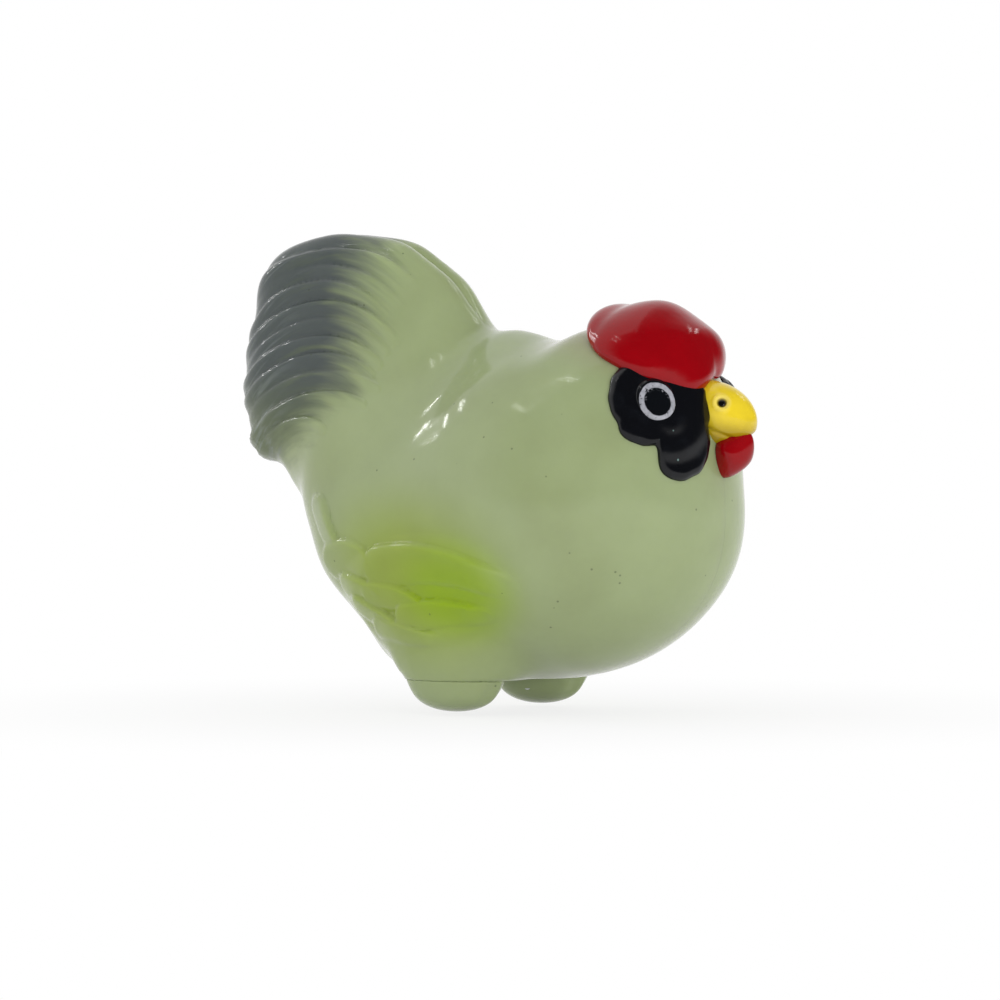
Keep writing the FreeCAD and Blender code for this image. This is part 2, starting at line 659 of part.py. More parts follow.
plate_points = [
    ("rear_low_x - plate_edge", "rear_low_z - plate_edge / 2"),
    ("hop_x - 2 * plate_edge", "hop_z - 2 * plate_edge"),
    ("front_low_x + plate_edge", "front_low_z - plate_edge"),
    ("front_low_x + plate_edge", "front_low_z + plate_edge"),
    ("front_high_x + plate_edge", "front_high_z"),
    ("front_high_x", "front_high_z + plate_edge"),
    ("rear_high_x", "rear_high_z + plate_edge"),
    ("rear_high_x - plate_edge", "rear_high_z"),
]
plate_holes = [(p + "_x", p + "_z", "stud + push_fit") for p in PILLARS]
plate_holes += [(a + "_x", a + "_z", radius + " + run_fit") for a, radius in ARBORS.items()]
plate_holes.append(("hop_x", "guide_z", "guide_pin + push_fit"))
for y_low, label in (("-plate_out", "frame_plate_right"), ("frame_half", "frame_plate_left")):
    body = doc.addObject("PartDesign::Body", label)
    outline = plate_sketch(body, plate_points, plate_holes)
    pad = body.newObject("PartDesign::Pad", "sheet_metal")
    pad.Profile = outline
    pad.setExpression("Length", "sizes.plate")
    bind(body, y=y_low + " + plate")
    node(body, label)


def pillar(place):
    """A spacer between the plates, with a stud at each end."""
    x, z = place + "_x", place + "_z"
    return fuse("pillar_" + place, rod("spacer_" + place, "pillar", x, z, "-frame_half", "frame_half"),
                rod("studs_" + place, "stud", x, z, "-stud_end", "stud_end"))


def nut(place, side, tag):
    """A hexagon nut on a stud, outside its plate."""
    low = "plate_out" if side > 0 else "-plate_out - nut"
    blank = make("Part::Prism", "hex_" + tag, ALONG_Y, Circumradius="nut_round", Height="nut",
                 x=place + "_x", y=low, z=place + "_z")
    hole = side_rod("thread_" + tag, side, "stud + push_fit", place, "plate_out - 1",
                    "plate_out + nut + 1")
    return cut("nut_" + tag, blank, hole)


node(group("frame_pillars", *[pillar(place) for place in PILLARS]), "frame_pillars")
node(group("pillar_nuts", *[nut(place, side, "%s_%s" % (place, tag)) for place in PILLARS
                            for side, tag in ((-1, "right"), (1, "left"))]), "pillar_nuts")
guide_pins = [rod("guide_right", "guide_pin", "hop_x", "guide_z", "-leg_out - room", "-frame_half"),
              rod("guide_left", "guide_pin", "hop_x", "guide_z", "frame_half", "leg_out + room")]
node(group("guide_pins", *guide_pins), "guide_pins")


# ---------------------------------------------------------------- gear train
def gear(name, teeth, shift, wide, place, y, bore, phase):
    """An involute gear with a round bore; phase turns its first tooth from +X towards +Z."""
    wires = fcgear.FCWireBuilder()
    involute.CreateExternalGear(wires, size("tooth_size"), int(size(teeth)), 20, True,
                                1.0, 1.25, 0.375, shift * size("tooth_shift"))
    rim = Part.Wire([part.toShape() for part in wires.wire])
    rim.rotate(Vector(), Vector(0, 0, 1), phase)
    rim.rotate(Vector(), Vector(1, 0, 0), 90)
    blank = Part.Face(rim).extrude(Vector(0, size(wide), 0))
    return solid(name, pierced(blank, size(bore) + size("push_fit")),
                 x=place + "_x", y=y, z=place + "_z")


def mesh_phase(teeth, phase, other, direction):
    """Phase of a second gear whose gaps meet the first gear's teeth in a direction."""
    along = (direction - phase) * size(teeth) / 360
    return direction + 180 - (0.5 - along) * 360 / size(other)


great_to_second = size("great_lean") + 180
second_to_hop = size("second_lean") + 180
second_phase = mesh_phase("great_teeth", 0, "second_leaves", great_to_second)
hop_phase = mesh_phase("second_teeth", 0, "hop_leaves", second_to_hop)
governor_phase = mesh_phase("crank_teeth", 0, "governor_leaves", size("governor_lean"))


def arbor(name, place, body_radius, pivot_radius, low="-pivot_end", high="pivot_end"):
    """A shaft with shoulders inside the plates and thinner pivots through them."""
    x, z = place + "_x", place + "_z"
    return fuse(name, rod(name + "_body", body_radius, x, z, "-shoulder", "shoulder"),
                rod(name + "_pivots", pivot_radius, x, z, low, high))


CLICK_PLACE = {"x": "great_x + click_reach * cos(click_place - click_swing)",
               "z": "great_z + click_reach * sin(click_place - click_swing)"}
POST_PLACE = {"x": "great_x + click_reach * cos(click_place + click_spring_swing)",
              "z": "great_z + click_reach * sin(click_place + click_spring_swing)"}


def wheel_with_running_bore():
    """The great wheel turns on the winding arbor, so its bore has the running gap."""
    item = gear("great_blank", "great_teeth", -1, "great_wide", "great", "great_y",
                "winding_body", 0)
    bore = rod("great_bore", "winding_body + run_fit", "great_x", "great_z", "great_y - 1",
               "great_y + great_wide + 1")
    rivet_hole = pin_at("rivet_hole", CLICK_PLACE, "-frame_half", "frame_half", "rivet + push_fit")
    post_hole = pin_at("post_hole", POST_PLACE, "-frame_half", "frame_half", "rivet + push_fit")
    return cut("great_wheel", item, fuse("great_tools", bore, rivet_hole, post_hole))



node(wheel_with_running_bore(), "great_wheel")
node(gear("second_pinion", "second_leaves", 1, "second_pinion_wide", "second", "second_pinion_y",
          "second_body", second_phase), "second_pinion")
node(gear("second_wheel", "second_teeth", -1, "second_wide", "second", "second_y",
          "second_body", 0), "second_wheel")
node(gear("hop_pinion", "hop_leaves", 1, "hop_pinion_wide", "hop", "hop_pinion_y",
          "hop_body", hop_phase), "hop_pinion")
node(gear("crank_wheel", "crank_teeth", -1, "crank_wide", "hop", "crank_y", "hop_body", 0),
     "crank_wheel")
node(gear("governor_pinion", "governor_leaves", 1, "governor_wide", "governor", "governor_y",
          "governor_body", governor_phase), "governor_pinion")
node(arbor("winding_arbor", "great", "winding_body", "winding_pivot",
           high="knob_y + knob_wide - knob_cap - push_fit"), "winding_arbor")
node(arbor("second_arbor", "second", "second_body", "second_pivot"), "second_arbor")
node(arbor("governor_arbor", "governor", "governor_body", "governor_pivot"), "governor_arbor")
node(arbor("verge_arbor", "verge", "verge_body", "verge_pivot"), "verge_arbor")
node(rod("hop_shaft", "hop_body", "hop_x", "hop_z", "-disc_out", "disc_out"), "hop_shaft")
collar = cut("collar", rod("collar_blank", "collar_round", "great_x", "great_z",
                           "great_y + great_wide + ratchet_gap",
                           "great_y + great_wide + ratchet_gap + collar_wide"),
             rod("collar_bore", "winding_body + push_fit", "great_x", "great_z", "0",
                 "frame_half"))
node(collar, "great_wheel_collar")


# ---------------------------------------------------------------- spring, ratchet and click
def ratchet_outline():
    """Saw teeth: a steep face, then a straight ramp down to the next one."""
    count, tip, root = int(size("ratchet_teeth")), size("ratchet_tip"), size("ratchet_root")
    points = []
    for i in range(count):
        angle = size("click_place") + i * 360 / count
        points += [polar(root, angle), polar(tip, angle + 1)]
    return points


ratchet = pierced(prism(ratchet_outline(), size("ratchet_wide")),
                  size("winding_body") + size("push_fit"))
node(solid("ratchet_wheel", ratchet, x="great_x", y="ratchet_y", z="great_z"), "ratchet_wheel")


def click_shape():
    """A pawl from its rivet to the root of a ratchet tooth, in the winding arbor's frame."""
    tip_angle, swing = size("click_place"), size("click_swing")
    root, tip, reach = size("ratchet_root"), size("ratchet_tip"), size("click_reach")
    eye_x, eye_z = polar(reach, tip_angle - swing)
    nose, back, waist = size("click_nose"), size("click_back"), size("click_waist")
    outline = [polar(root + nose, tip_angle - 2), polar(tip + back, tip_angle - 3),
               polar(reach + waist, tip_angle - 0.8 * swing), (eye_x, eye_z),
               polar(reach - waist, tip_angle - swing + 4)]
    flat = prism(outline, size("ratchet_wide"))
    eye = Part.makeCylinder(size("click_eye"), size("ratchet_wide"), Vector(eye_x, 0, eye_z),
                            Vector(0, 1, 0))
    hole = Part.makeCylinder(size("rivet") + size("run_fit"), 2 * REACH,
                             Vector(eye_x, -REACH, eye_z), Vector(0, 1, 0))
    return flat.fuse(eye).cut(hole).removeSplitter()


node(solid("click", click_shape(), x="great_x", y="ratchet_y", z="great_z"), "click")


rivet = fuse("click_rivet",
             pin_at("rivet_shank", CLICK_PLACE, "ratchet_y - run_fit", "great_y + great_wide",
                    "rivet"),
             pin_at("rivet_head", CLICK_PLACE, "ratchet_y - 3 * run_fit", "ratchet_y - run_fit",
                    "rivet_head"))
node(rivet, "click_rivet")


def click_spring_shape():
    """A bent leaf set as it is with the click lifted, in the winding arbor's frame."""
    tip_angle, wide, thick = size("click_place"), size("ratchet_wide"), size("leaf")
    reach, start = size("click_reach"), tip_angle + size("click_spring_swing")
    post_at, bend = polar(reach, start), polar(reach + 2 * thick, tip_angle + 3)
    end = polar(size("ratchet_tip") + 5 * thick, tip_angle - 8)
    leaf = strip(post_at, bend, thick, wide).fuse(strip(bend, end, thick, wide))
    joint = Part.makeCylinder(thick / 2, wide, Vector(bend[0], 0, bend[1]), Vector(0, 1, 0))
    post = Part.makeCylinder(size("rivet"), wide + size("ratchet_gap") + size("great_wide"),
                             Vector(post_at[0], 0, post_at[1]), Vector(0, 1, 0))
    return leaf.fuse([joint, post])


node(solid("click_spring", click_spring_shape(), x="great_x", y="ratchet_y", z="great_z"),
     "click_spring")


def mainspring_shape():
    """A spiral strip from the winding arbor out to the lower rear pillar."""
    turns, thick = int(size("spring_turns")), size("spring_thick")
    near, far = size("winding_body") + thick, size("spring_round")
    px, pz = size("rear_low_x") - size("great_x"), size("rear_low_z") - size("great_z")
    end = math.degrees(math.atan2(pz, px))
    count = 20 * turns
    path = []
    for i in range(count + 1):
        angle = end + (i / count - 1) * 360 * turns
        path.append((near + (far - near) * i / count, angle))
    post = math.hypot(px, pz) - size("pillar") - size("run_fit") - thick / 2
    path += [((far + post) / 2, end + 12), (post, end + 14)]

    def edge(side):
        curve = Part.BSplineCurve()
        curve.interpolate([Vector(x, 0, z) for x, z in
                           (polar(r + side * thick / 2, a) for r, a in path)])
        return curve.toShape()

    one, two = edge(-1), edge(1)
    ends = [Part.makeLine(one.Vertexes[k].Point, two.Vertexes[k].Point) for k in (0, 1)]
    face = Part.Face(Part.Wire(Part.__sortEdges__([one, two] + ends)))
    return face.extrude(Vector(0, size("spring_wide"), 0))


node(solid("mainspring", mainspring_shape(), x="great_x", y="ratchet_y - 2 * ratchet_gap - spring_wide",
           z="great_z"), "mainspring")


# ---------------------------------------------------------------- winding knob
def knob():
    """A round knob with grip grooves and a blind bore for the arbor."""
    radius, deep = size("knob_round"), size("knob_wide")
    shape = Part.makeCylinder(radius, deep, Vector(), Vector(0, 1, 0))
    rims = [edge for edge in shape.Edges if abs(edge.CenterOfMass.y - deep) < 1e-6]
    shape = shape.makeFillet(min(size("knob_edge"), deep / 3), rims)
    count = int(size("knob_ribs"))
    grooves = []
    for i in range(count):
        x, z = polar(radius, i * 360 / count)
        grooves.append(Part.makeCylinder(size("knob_groove"), deep + 2, Vector(x, -1, z),
                                         Vector(0, 1, 0)))
    bore = Part.makeCylinder(size("winding_pivot") + size("push_fit"), deep - size("knob_cap"),
                             Vector(), Vector(0, 1, 0))
    return shape.cut(grooves + [bore])


node(solid("winding_knob", knob(), x="great_x", y="knob_y", z="great_z"), "winding_knob")


# ---------------------------------------------------------------- governor
def star_outline():
    """Pointed teeth, a quarter pitch away from each pallet at rest."""
    count = int(size("star_teeth"))
    first = size("verge_lean") + size("verge_span") - 90 / count
    points = []
    for i in range(count):
        angle = first + i * 360 / count
        points += [polar(size("star_tip"), angle - 0.7), polar(size("star_tip"), angle + 0.7),
                   polar(size("star_root"), angle + 180 / count)]
    return points


star = pierced(prism(star_outline(), size("star_wide")), size("governor_body") + size("push_fit"))
node(solid("star_wheel", star, x="governor_x", y="star_y", z="governor_z"), "star_wheel")


def verge_shape():
    """A hub with two arms that end in pallets, in the governor's frame."""
    lean, span, wide = size("verge_lean"), size("verge_span"), size("star_wide")
    hub = polar(size("verge_reach"), lean)
    shape = Part.makeCylinder(size("verge_hub"), wide, Vector(hub[0], 0, hub[1]), Vector(0, 1, 0))
    near = size("star_tip") + size("pallet_gap")
    far = near + size("pallet_long")
    for side in (-1, 1):
        root = polar(far, lean + side * span)
        tip = polar(near, lean + side * span)
        shape = shape.fuse(strip(hub, root, size("verge_arm"), wide))
        shape = shape.fuse(strip(tip, root, size("pallet_wide"), wide))
    hole = Part.makeCylinder(size("verge_body") + size("push_fit"), 2 * REACH,
                             Vector(hub[0], -REACH, hub[1]), Vector(0, 1, 0))
    return shape.cut(hole).removeSplitter()


node(solid("verge", verge_shape(), x="governor_x", y="star_y", z="governor_z"), "verge")


# ---------------------------------------------------------------- cranks, legs and feet
def crank_disc():
    """The right crank: a disc on the hop shaft with a headed pin above it."""
    disc = rod("disc_blank", "disc_round", "hop_x", "hop_z", "-disc_out", "-disc_y")
    pin = rod("disc_pin", "crank_pin", "hop_x", "crank_pin_z", "-leg_out - leg_gap - pin_cap",
              "-disc_out + disc_wide / 2")
    head = rod("disc_head", "pin_head", "hop_x", "crank_pin_z", "-leg_out - leg_gap - pin_cap",
               "-leg_out - leg_gap")
    bore = rod("disc_bore", "hop_body + push_fit", "hop_x", "hop_z", "-disc_out - push_fit",
               "-disc_y + 1")
    return cut("crank_right", fuse("crank_blank", disc, pin, head), bore)


crank_right = crank_disc()
node(group("crank_discs", crank_right, mirror("crank_left", crank_right)), "crank_discs")


def leg():
    """The right leg: a flat strip with an eye for the crank pin and a guide window."""
    low, high = "-leg_out", "-leg_y"
    strip_block = block("leg_strip", ("hop_x - leg_wide", "hop_x + leg_wide"), (low, high),
                        ("leg_foot_z", "window_z"))
    eye = rod("leg_eye_disc", "leg_eye", "hop_x", "crank_pin_z", low, high)
    crown = rod("leg_crown", "window + guide_skin", "hop_x", "window_z", low, high)
    holes = [rod("leg_pin_hole", "crank_pin + run_fit", "hop_x", "crank_pin_z",
                 low + " - 1", high + " + 1"),
             rod("leg_window", "window", "hop_x", "window_z", low + " - 1", high + " + 1"),
             rod("leg_foot_hole", "foot_pin + push_fit", "hop_x", "foot_pin_z",
                 low + " - 1", high + " + 1")]
    return cut("leg_right", fuse("leg_blank", strip_block, eye, crown), fuse("leg_holes", *holes))


def foot():
    """The right foot: the lower end of the hip's lump, flat below and above."""
    lump = egg("foot_lump", "hip", y="-hip_apart")
    slab = block("foot_slab", ("-%d" % REACH, str(REACH)), ("-%d" % REACH, "0"),
                 ("0", "foot_top"))
    slot = block("foot_slot", ("hop_x - leg_wide - push_fit", "hop_x + leg_wide + push_fit"),
                 ("-leg_out - push_fit", "-leg_y + push_fit"), ("leg_foot_z - push_fit", "belly"))
    hole = rod("foot_pin_hole", "foot_pin + push_fit", "hop_x", "foot_pin_z",
               "-leg_out - foot_pin_out - push_fit", "-leg_y + foot_pin_out + push_fit")
    return cut("foot_right", common("foot_blank", lump, slab), fuse("foot_tools", slot, hole))


leg_right = node(leg(), "leg_right")
node(mirror("leg_left", leg_right), "leg_left")
foot_right = node(foot(), "foot_right")
node(mirror("foot_left", foot_right), "foot_left")
pin_right = node(rod("foot_pin_right", "foot_pin", "hop_x", "foot_pin_z",
                     "-leg_out - foot_pin_out", "-leg_y + foot_pin_out"), "foot_pin_right")
node(mirror("foot_pin_left", pin_right), "foot_pin_left")

# ---------------------------------------------------------------- checks and export
doc.recompute()
broken = [item.Label for item in doc.Objects if "Invalid" in item.State or "Error" in item.State]
if broken:
    raise RuntimeError("did not build: " + ", ".join(broken))
for item in NODES:
    if item.Shape.isNull() or not item.Shape.isValid() or not item.Shape.Solids:
        raise RuntimeError("%s has no valid solid" % item.Label)

os.makedirs("parts", exist_ok=True)
for item in NODES:
    item.Shape.exportStep("parts/" + item.Label + ".step")
    box = item.Shape.BoundBox
    print("%-20s %d solid(s) %9.2f mm3  x %6.2f %6.2f  y %6.2f %6.2f  z %6.2f %6.2f" % (
        item.Label, len(item.Shape.Solids), item.Shape.Volume, box.XMin, box.XMax, box.YMin,
        box.YMax, box.ZMin, box.ZMax))
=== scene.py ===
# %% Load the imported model
import json
import math

import bpy
import numpy as np
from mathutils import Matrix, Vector


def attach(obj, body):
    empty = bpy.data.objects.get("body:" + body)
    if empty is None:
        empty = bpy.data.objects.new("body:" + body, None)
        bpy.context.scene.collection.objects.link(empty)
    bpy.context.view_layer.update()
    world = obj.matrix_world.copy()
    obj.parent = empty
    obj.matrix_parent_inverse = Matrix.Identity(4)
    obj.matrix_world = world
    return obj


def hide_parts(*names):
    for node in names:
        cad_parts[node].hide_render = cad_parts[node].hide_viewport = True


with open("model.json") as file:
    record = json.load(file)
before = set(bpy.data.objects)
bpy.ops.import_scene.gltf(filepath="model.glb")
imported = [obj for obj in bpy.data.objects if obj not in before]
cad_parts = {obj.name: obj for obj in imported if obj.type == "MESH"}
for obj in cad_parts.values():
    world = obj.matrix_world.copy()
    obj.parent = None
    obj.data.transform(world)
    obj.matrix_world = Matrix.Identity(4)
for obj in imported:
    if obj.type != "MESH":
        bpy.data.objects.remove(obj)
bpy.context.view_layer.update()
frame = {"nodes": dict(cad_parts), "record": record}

MM = 0.001

# %% [markdown]
# # Wind-up hopping chicken
# The real toy is a hollow resin bird in two halves, with painted face pieces, small feet and a
# spring motor inside. The motor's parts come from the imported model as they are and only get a
# finish here. Everything that the eye meets first - skin, tail feathers, wings, comb, beak,
# cheeks, eyes, feet and knob - is worked out again as fine surfaces with numpy. All formulas
# are in millimetres, and the last step of each piece turns them into metres.

# %% [markdown]
# ## From arrays to a mesh
# Each new surface is a stack of rings. A ring is a closed row of points, and the first and the
# last ring shrink to one point, so that the piece is closed at both poles. Sorting the faces
# with numpy keeps the work short, and the sign of the volume says if they point outwards.


# %% Mesh helpers
def ring_quads(rows, columns):
    """Quads between neighbouring rings: corner (i, j) is point i * columns + j, j goes round."""
    row = np.arange(rows - 1)[:, None] * columns
    near = np.arange(columns)[None, :]
    far = (near + 1) % columns
    return np.stack([row + near, row + far, row + columns + far, row + columns + near],
                    -1).reshape(-1, 4)


def volume(points, faces):
    """Sum of signed tetrahedra from the origin to each half of each quad, over six."""
    a, b, c, d = (points[faces[:, k]] for k in range(4))
    return (np.einsum("ij,ij->i", a, np.cross(b, c)).sum()
            + np.einsum("ij,ij->i", a, np.cross(c, d)).sum()) / 6


def put_mesh(name, points, faces):
    """Make an object from points in millimetres; a face that repeats a corner is a triangle."""
    if volume(points, faces) < 0:
        faces = faces[:, ::-1]
    mesh = bpy.data.meshes.new(name)
    corners = [tuple(dict.fromkeys(face)) for face in faces.tolist()]
    mesh.from_pydata((points * MM).tolist(), [], corners)
    mesh.polygons.foreach_set("use_smooth", np.ones(len(mesh.polygons), bool))
    mesh.validate()
    mesh.update()
    piece = bpy.data.objects.new(name, mesh)
    bpy.context.scene.collection.objects.link(piece)
    return piece


def put_rings(name, rings):
    """A closed piece through rings of shape (rows, columns, 3); end rings become poles."""
    rows, columns = rings.shape[:2]
    points = np.vstack([rings[0].mean(0), rings[1:-1].reshape(-1, 3), rings[-1].mean(0)])
    near = np.arange(columns)
    far = (near + 1) % columns
    first = np.zeros(columns, int)
    last = first + len(points) - 1
    end_row = 1 + (rows - 3) * columns
    first_cap = np.stack([first, first, far + 1, near + 1], -1)
    last_cap = np.stack([last, last, end_row + near, end_row + far], -1)
    return put_mesh(name, points, np.vstack([ring_quads(rows - 2, columns) + 1, first_cap, last_cap]))


def round_angles(columns):
    """Even angles once round, without the closing one."""
    return np.linspace(0, 2 * math.pi, columns, endpoint=False)


print("helpers ready")

# %% [markdown]
# ## The skin of the body
# The bird is one soft form: seven rounded lumps melted together. The same lumps made the hollow
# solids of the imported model, so the fine skin lies on them. A point is inside the body where
# the blended distance is negative. Rays from the middle of the bird find the skin, and halving
# the last step makes the find exact.

# %% Body form
LUMPS = (
    # x, z, half lengths along, across and up, nose lean, apart, blend
    (9.6, 24.6, 20.8, 20.5, 20.2, 0, 0, 1),
    (-9.2, 22.5, 13.6, 15.0, 21.6, 35, 0, 8),
    (-9.0, 35.0, 13.0, 9.0, 12.2, -40, 0, 7),
    (18.5, 35.5, 10.5, 11.5, 9.8, 0, 0, 6),
    (-18.9, 42.9, 14.6, 6.2, 14.4, -42, 1.6, 5),
    (-23.8, 37.4, 9.0, 6.0, 9.4, 0, 1.6, 5),
    (-0.2, 7.0, 6.8, 4.6, 7.5, 0, 10.2, 5),
)
HIP = LUMPS[6]
WALL = 1.6
BELLY = 4.2
LOWER_EDGE = 0.06
PARTING = 0.008
HEART = np.array([0.0, 0.0, 24.0])
REACH = 60


def lump_distance(p, row):
    """k (k - 1) / |gradient of k|, where k is the ellipsoid's own radius number at p."""
    x, z, along, across, up, lean, apart, _ = row
    turn = math.radians(lean)
    dx, dz = p[..., 0] - x, p[..., 2] - z
    u = dx * math.cos(turn) + dz * math.sin(turn)
    w = dz * math.cos(turn) - dx * math.sin(turn)
    v = np.abs(p[..., 1]) - apart
    k = np.sqrt((u / along) ** 2 + (v / across) ** 2 + (w / up) ** 2)
    slope = np.sqrt((u / along ** 2) ** 2 + (v / across ** 2) ** 2 + (w / up ** 2) ** 2)
    return k * (k - 1) / (slope + 1e-9)


def soft_min(a, b, blend):
    """The smaller of two distances, rounded over where they differ by less than blend."""
    near = np.maximum(blend - np.abs(a - b), 0) / blend
    return np.minimum(a, b) - near * near * blend / 4


def body_distance(p):
    """The seven lumps joined by soft minimum, each with its own blend."""
    total = lump_distance(p, LUMPS[0])
    for row in LUMPS[1:]:
        total = soft_min(total, lump_distance(p, row), row[-1])
    return total


def skin_distance(p):
    """The body above its flat underside, with a rounded lower edge."""
    return -soft_min(-body_distance(p), p[..., 2] - BELLY, LOWER_EDGE)


def crossing(start, rays, distance, reach, steps=120, first=False):
    """Where each ray leaves the surface: even steps outwards, then the last (or first) step that
    crosses it is halved until it is exact."""
    walk = np.linspace(0, reach, steps + 1)
    shape = rays.shape[:-1]
    low = np.zeros(shape)
    leaving = np.zeros(shape, bool)
    inside_before = np.ones(shape, bool)
    for here, step in zip(walk[:-1], walk[1:]):
        inside = distance(start + rays * step) < 0
        left = inside_before & ~inside
        if first:
            left &= ~leaving
        low = np.where(left, here, low)
        leaving |= left
        inside_before = inside
    high = low + reach / steps
    for _ in range(18):
        middle = (low + high) / 2
        inside = distance(start + rays * middle[..., None]) < 0
        low = np.where(inside, middle, low)
        high = np.where(inside, high, middle)
    return start + rays * ((low + high) / 2)[..., None]


def normals(p, distance):
    """Unit gradient of a distance by central differences of 0.02 mm."""
    step = 0.02 * np.eye(3)
    slope = np.stack([distance(p + e) - distance(p - e) for e in step], -1)
    return slope / np.linalg.norm(slope, axis=-1, keepdims=True)


breast = crossing(HEART, np.array([[1.0, 0, 0]]), body_distance, REACH)
print("skin at the breast: x = %.2f mm" % breast[0, 0])

# %% [markdown]
# ## Feathers in relief
# The tail is a fan of long feathers that lie on each other like shingles: each has a round end
# towards the body, a crisp upper edge and a slope down to the next one. The wing is a low pad
# with shorter feathers in three rows. Every feather is a curve with a width, and its height
# depends on how far across the feather a point lies. Real displacement is used, not bump, so
# that the outline of the tail shows the feather tips.

# %% Feather relief
TAIL_FEATHERS = (
    # round end x, z, middle x, z, rim x, z, half width
    (-9.4, 53.6, -19.0, 56.9, -31.0, 51.4, 1.25),
    (-9.9, 51.2, -20.5, 54.6, -32.5, 48.4, 1.20),
    (-10.7, 48.9, -21.8, 52.6, -33.0, 46.2, 1.05),
    (-12.2, 47.4, -22.2, 50.6, -33.6, 43.8, 1.15),
    (-9.9, 44.2, -21.6, 48.3, -34.0, 41.4, 1.10),
    (-10.8, 43.0, -22.0, 46.1, -34.4, 39.2, 1.10),
    (-11.4, 41.4, -22.4, 43.9, -34.4, 37.2, 1.15),
    (-12.2, 40.2, -22.4, 41.7, -34.2, 35.2, 1.15),
    (-11.0, 38.6, -22.0, 39.4, -33.6, 33.4, 1.20),
    (-12.4, 36.8, -22.0, 36.9, -32.6, 31.6, 1.10),
    (-17.6, 33.6, -23.6, 34.2, -31.6, 30.2, 1.00),
)
WING_FEATHERS = (
    (11.6, 15.6, 2.5, 18.0, -7.2, 17.6, 2.3),
    (-8.2, 16.6, -11.6, 18.6, -15.4, 18.2, 2.0),
    (-14.6, 19.6, -16.4, 21.6, -17.6, 24.4, 1.5),
    (7.6, 12.2, 1.6, 12.4, -3.4, 11.8, 1.7),
    (-0.4, 12.2, -4.6, 13.9, -8.8, 14.3, 1.6),
    (-6.6, 13.7, -10.2, 14.9, -13.6, 15.4, 1.4),
    (0.2, 9.2, -4.0, 9.7, -8.4, 10.8, 1.3),
    (-5.2, 10.5, -8.6, 11.8, -11.8, 13.2, 1.2),
)
TAIL_RELIEF, TAIL_CRISP = 0.95, 3.4
WING_RELIEF, WING_CRISP = 0.75, 9
WING_PAD = 0.45
SWELLS = (
    # x, z, radius, height: slow rises and falls of the hand-shaped surface
    (-29.4, 53.0, 7.5, 1.30),
    (-18.0, 58.0, 7.0, -0.70),
    (-32.5, 31.3, 4.5, 1.10),
    (-34.0, 41.5, 6.0, -0.35),
    (-29.0, 28.5, 3.0, -0.35),
    (-27.0, 25.0, 4.0, 0.50),
    (-6.5, 54.0, 6.0, 0.55),
    (-4.5, 51.0, 6.5, 1.10),
    (2.6, 45.0, 5.0, 0.95),
    (9.5, 45.0, 5.0, -0.80),
    (-11.0, 6.5, 6.0, 1.10),
    (-19.6, 17.0, 6.0, 0.40),
    (31.0, 18.0, 10.0, 0.35),
)


def smooth(low, high, value):
    """Smoothstep: 3 t^2 - 2 t^3, with t from 0 at low to 1 at high."""
    t = np.clip((value - low) / (high - low), 0, 1)
    return t * t * (3 - 2 * t)


def feather(x, z, row, crisp):
    """Height 0 to 1 of one feather over the side view.

    Its spine is a parabola through the three points; e is the distance from the spine over the
    half width, which grows with the root of the place along it. The height is 1 - e^crisp times a
    slope that falls from the upper edge to the lower one, and fades in at the round end."""
    end, through, rim = np.array(row[:6]).reshape(3, 2)
    half = row[6]
    t = np.linspace(0, 1, 25)[:, None]
    bend = 2 * through - (end + rim) / 2
    spine = (1 - t) ** 2 * end + 2 * t * (1 - t) * bend + t ** 2 * rim
    best, side, place = np.full(x.shape, 1e9), np.zeros(x.shape), np.zeros(x.shape)
    for i, (a, b) in enumerate(zip(spine[:-1], spine[1:])):
        run = b - a
        k = np.clip(((x - a[0]) * run[0] + (z - a[1]) * run[1]) / (run @ run), 0, 1)
        dx, dz = x - a[0] - k * run[0], z - a[1] - k * run[1]
        far = np.hypot(dx, dz)
        closer = far < best
        best = np.where(closer, far, best)
        side = np.where(closer, (run[1] * dx - run[0] * dz) / math.hypot(*run), side)
        place = np.where(closer, (i + k) / 24, place)
    wide = half * (0.62 + 0.55 * np.sqrt(place))
    e = best / wide
    slope = 0.6 + 0.4 * np.clip(side / wide, -1, 1)
    return np.clip(1 - e ** crisp, 0, 1) * slope * smooth(0, 0.3, place + 0.10)


def relief(p):
    """How far the skin stands out of the smooth form, in millimetres, from both views alike."""
    x, y, z = p[..., 0], p[..., 1], p[..., 2]
    tail, wing = np.zeros(x.shape), np.zeros(x.shape)
    for number, row in enumerate(TAIL_FEATHERS):
        strength = 0.8 + 0.25 * math.sin(2.2 * number)
        tail = np.maximum(tail, strength * feather(x, z, row, TAIL_CRISP))
    tail = TAIL_RELIEF * tail * smooth(-6, -9, x) * smooth(27, 30, z)
    for row in WING_FEATHERS:
        wing = np.maximum(wing, feather(x, z, row, WING_CRISP))
    pad = 1 - ((x + 2.0) / 14.5) ** 2 - ((z - 14.6 - 0.12 * (x + 2)) / 7.2) ** 2
    wing = WING_RELIEF * wing + WING_PAD * smooth(0, 0.55, pad)
    wing = wing * smooth(7, 10, np.abs(y)) * smooth(30, 27, z)
    uneven = 0.10 * np.sin(x / 4.1 + 1) * np.sin(y / 3.7 + z / 6.5) + 0.07 * np.sin(z / 3.3 + x / 7)
    for place_x, place_z, radius, height in SWELLS:
        uneven = uneven + height * smooth(radius, 0, np.hypot(x - place_x, z - place_z))
    return tail + wing + uneven


print("feathers:", len(TAIL_FEATHERS), "in the tail,", len(WING_FEATHERS), "in the wing")

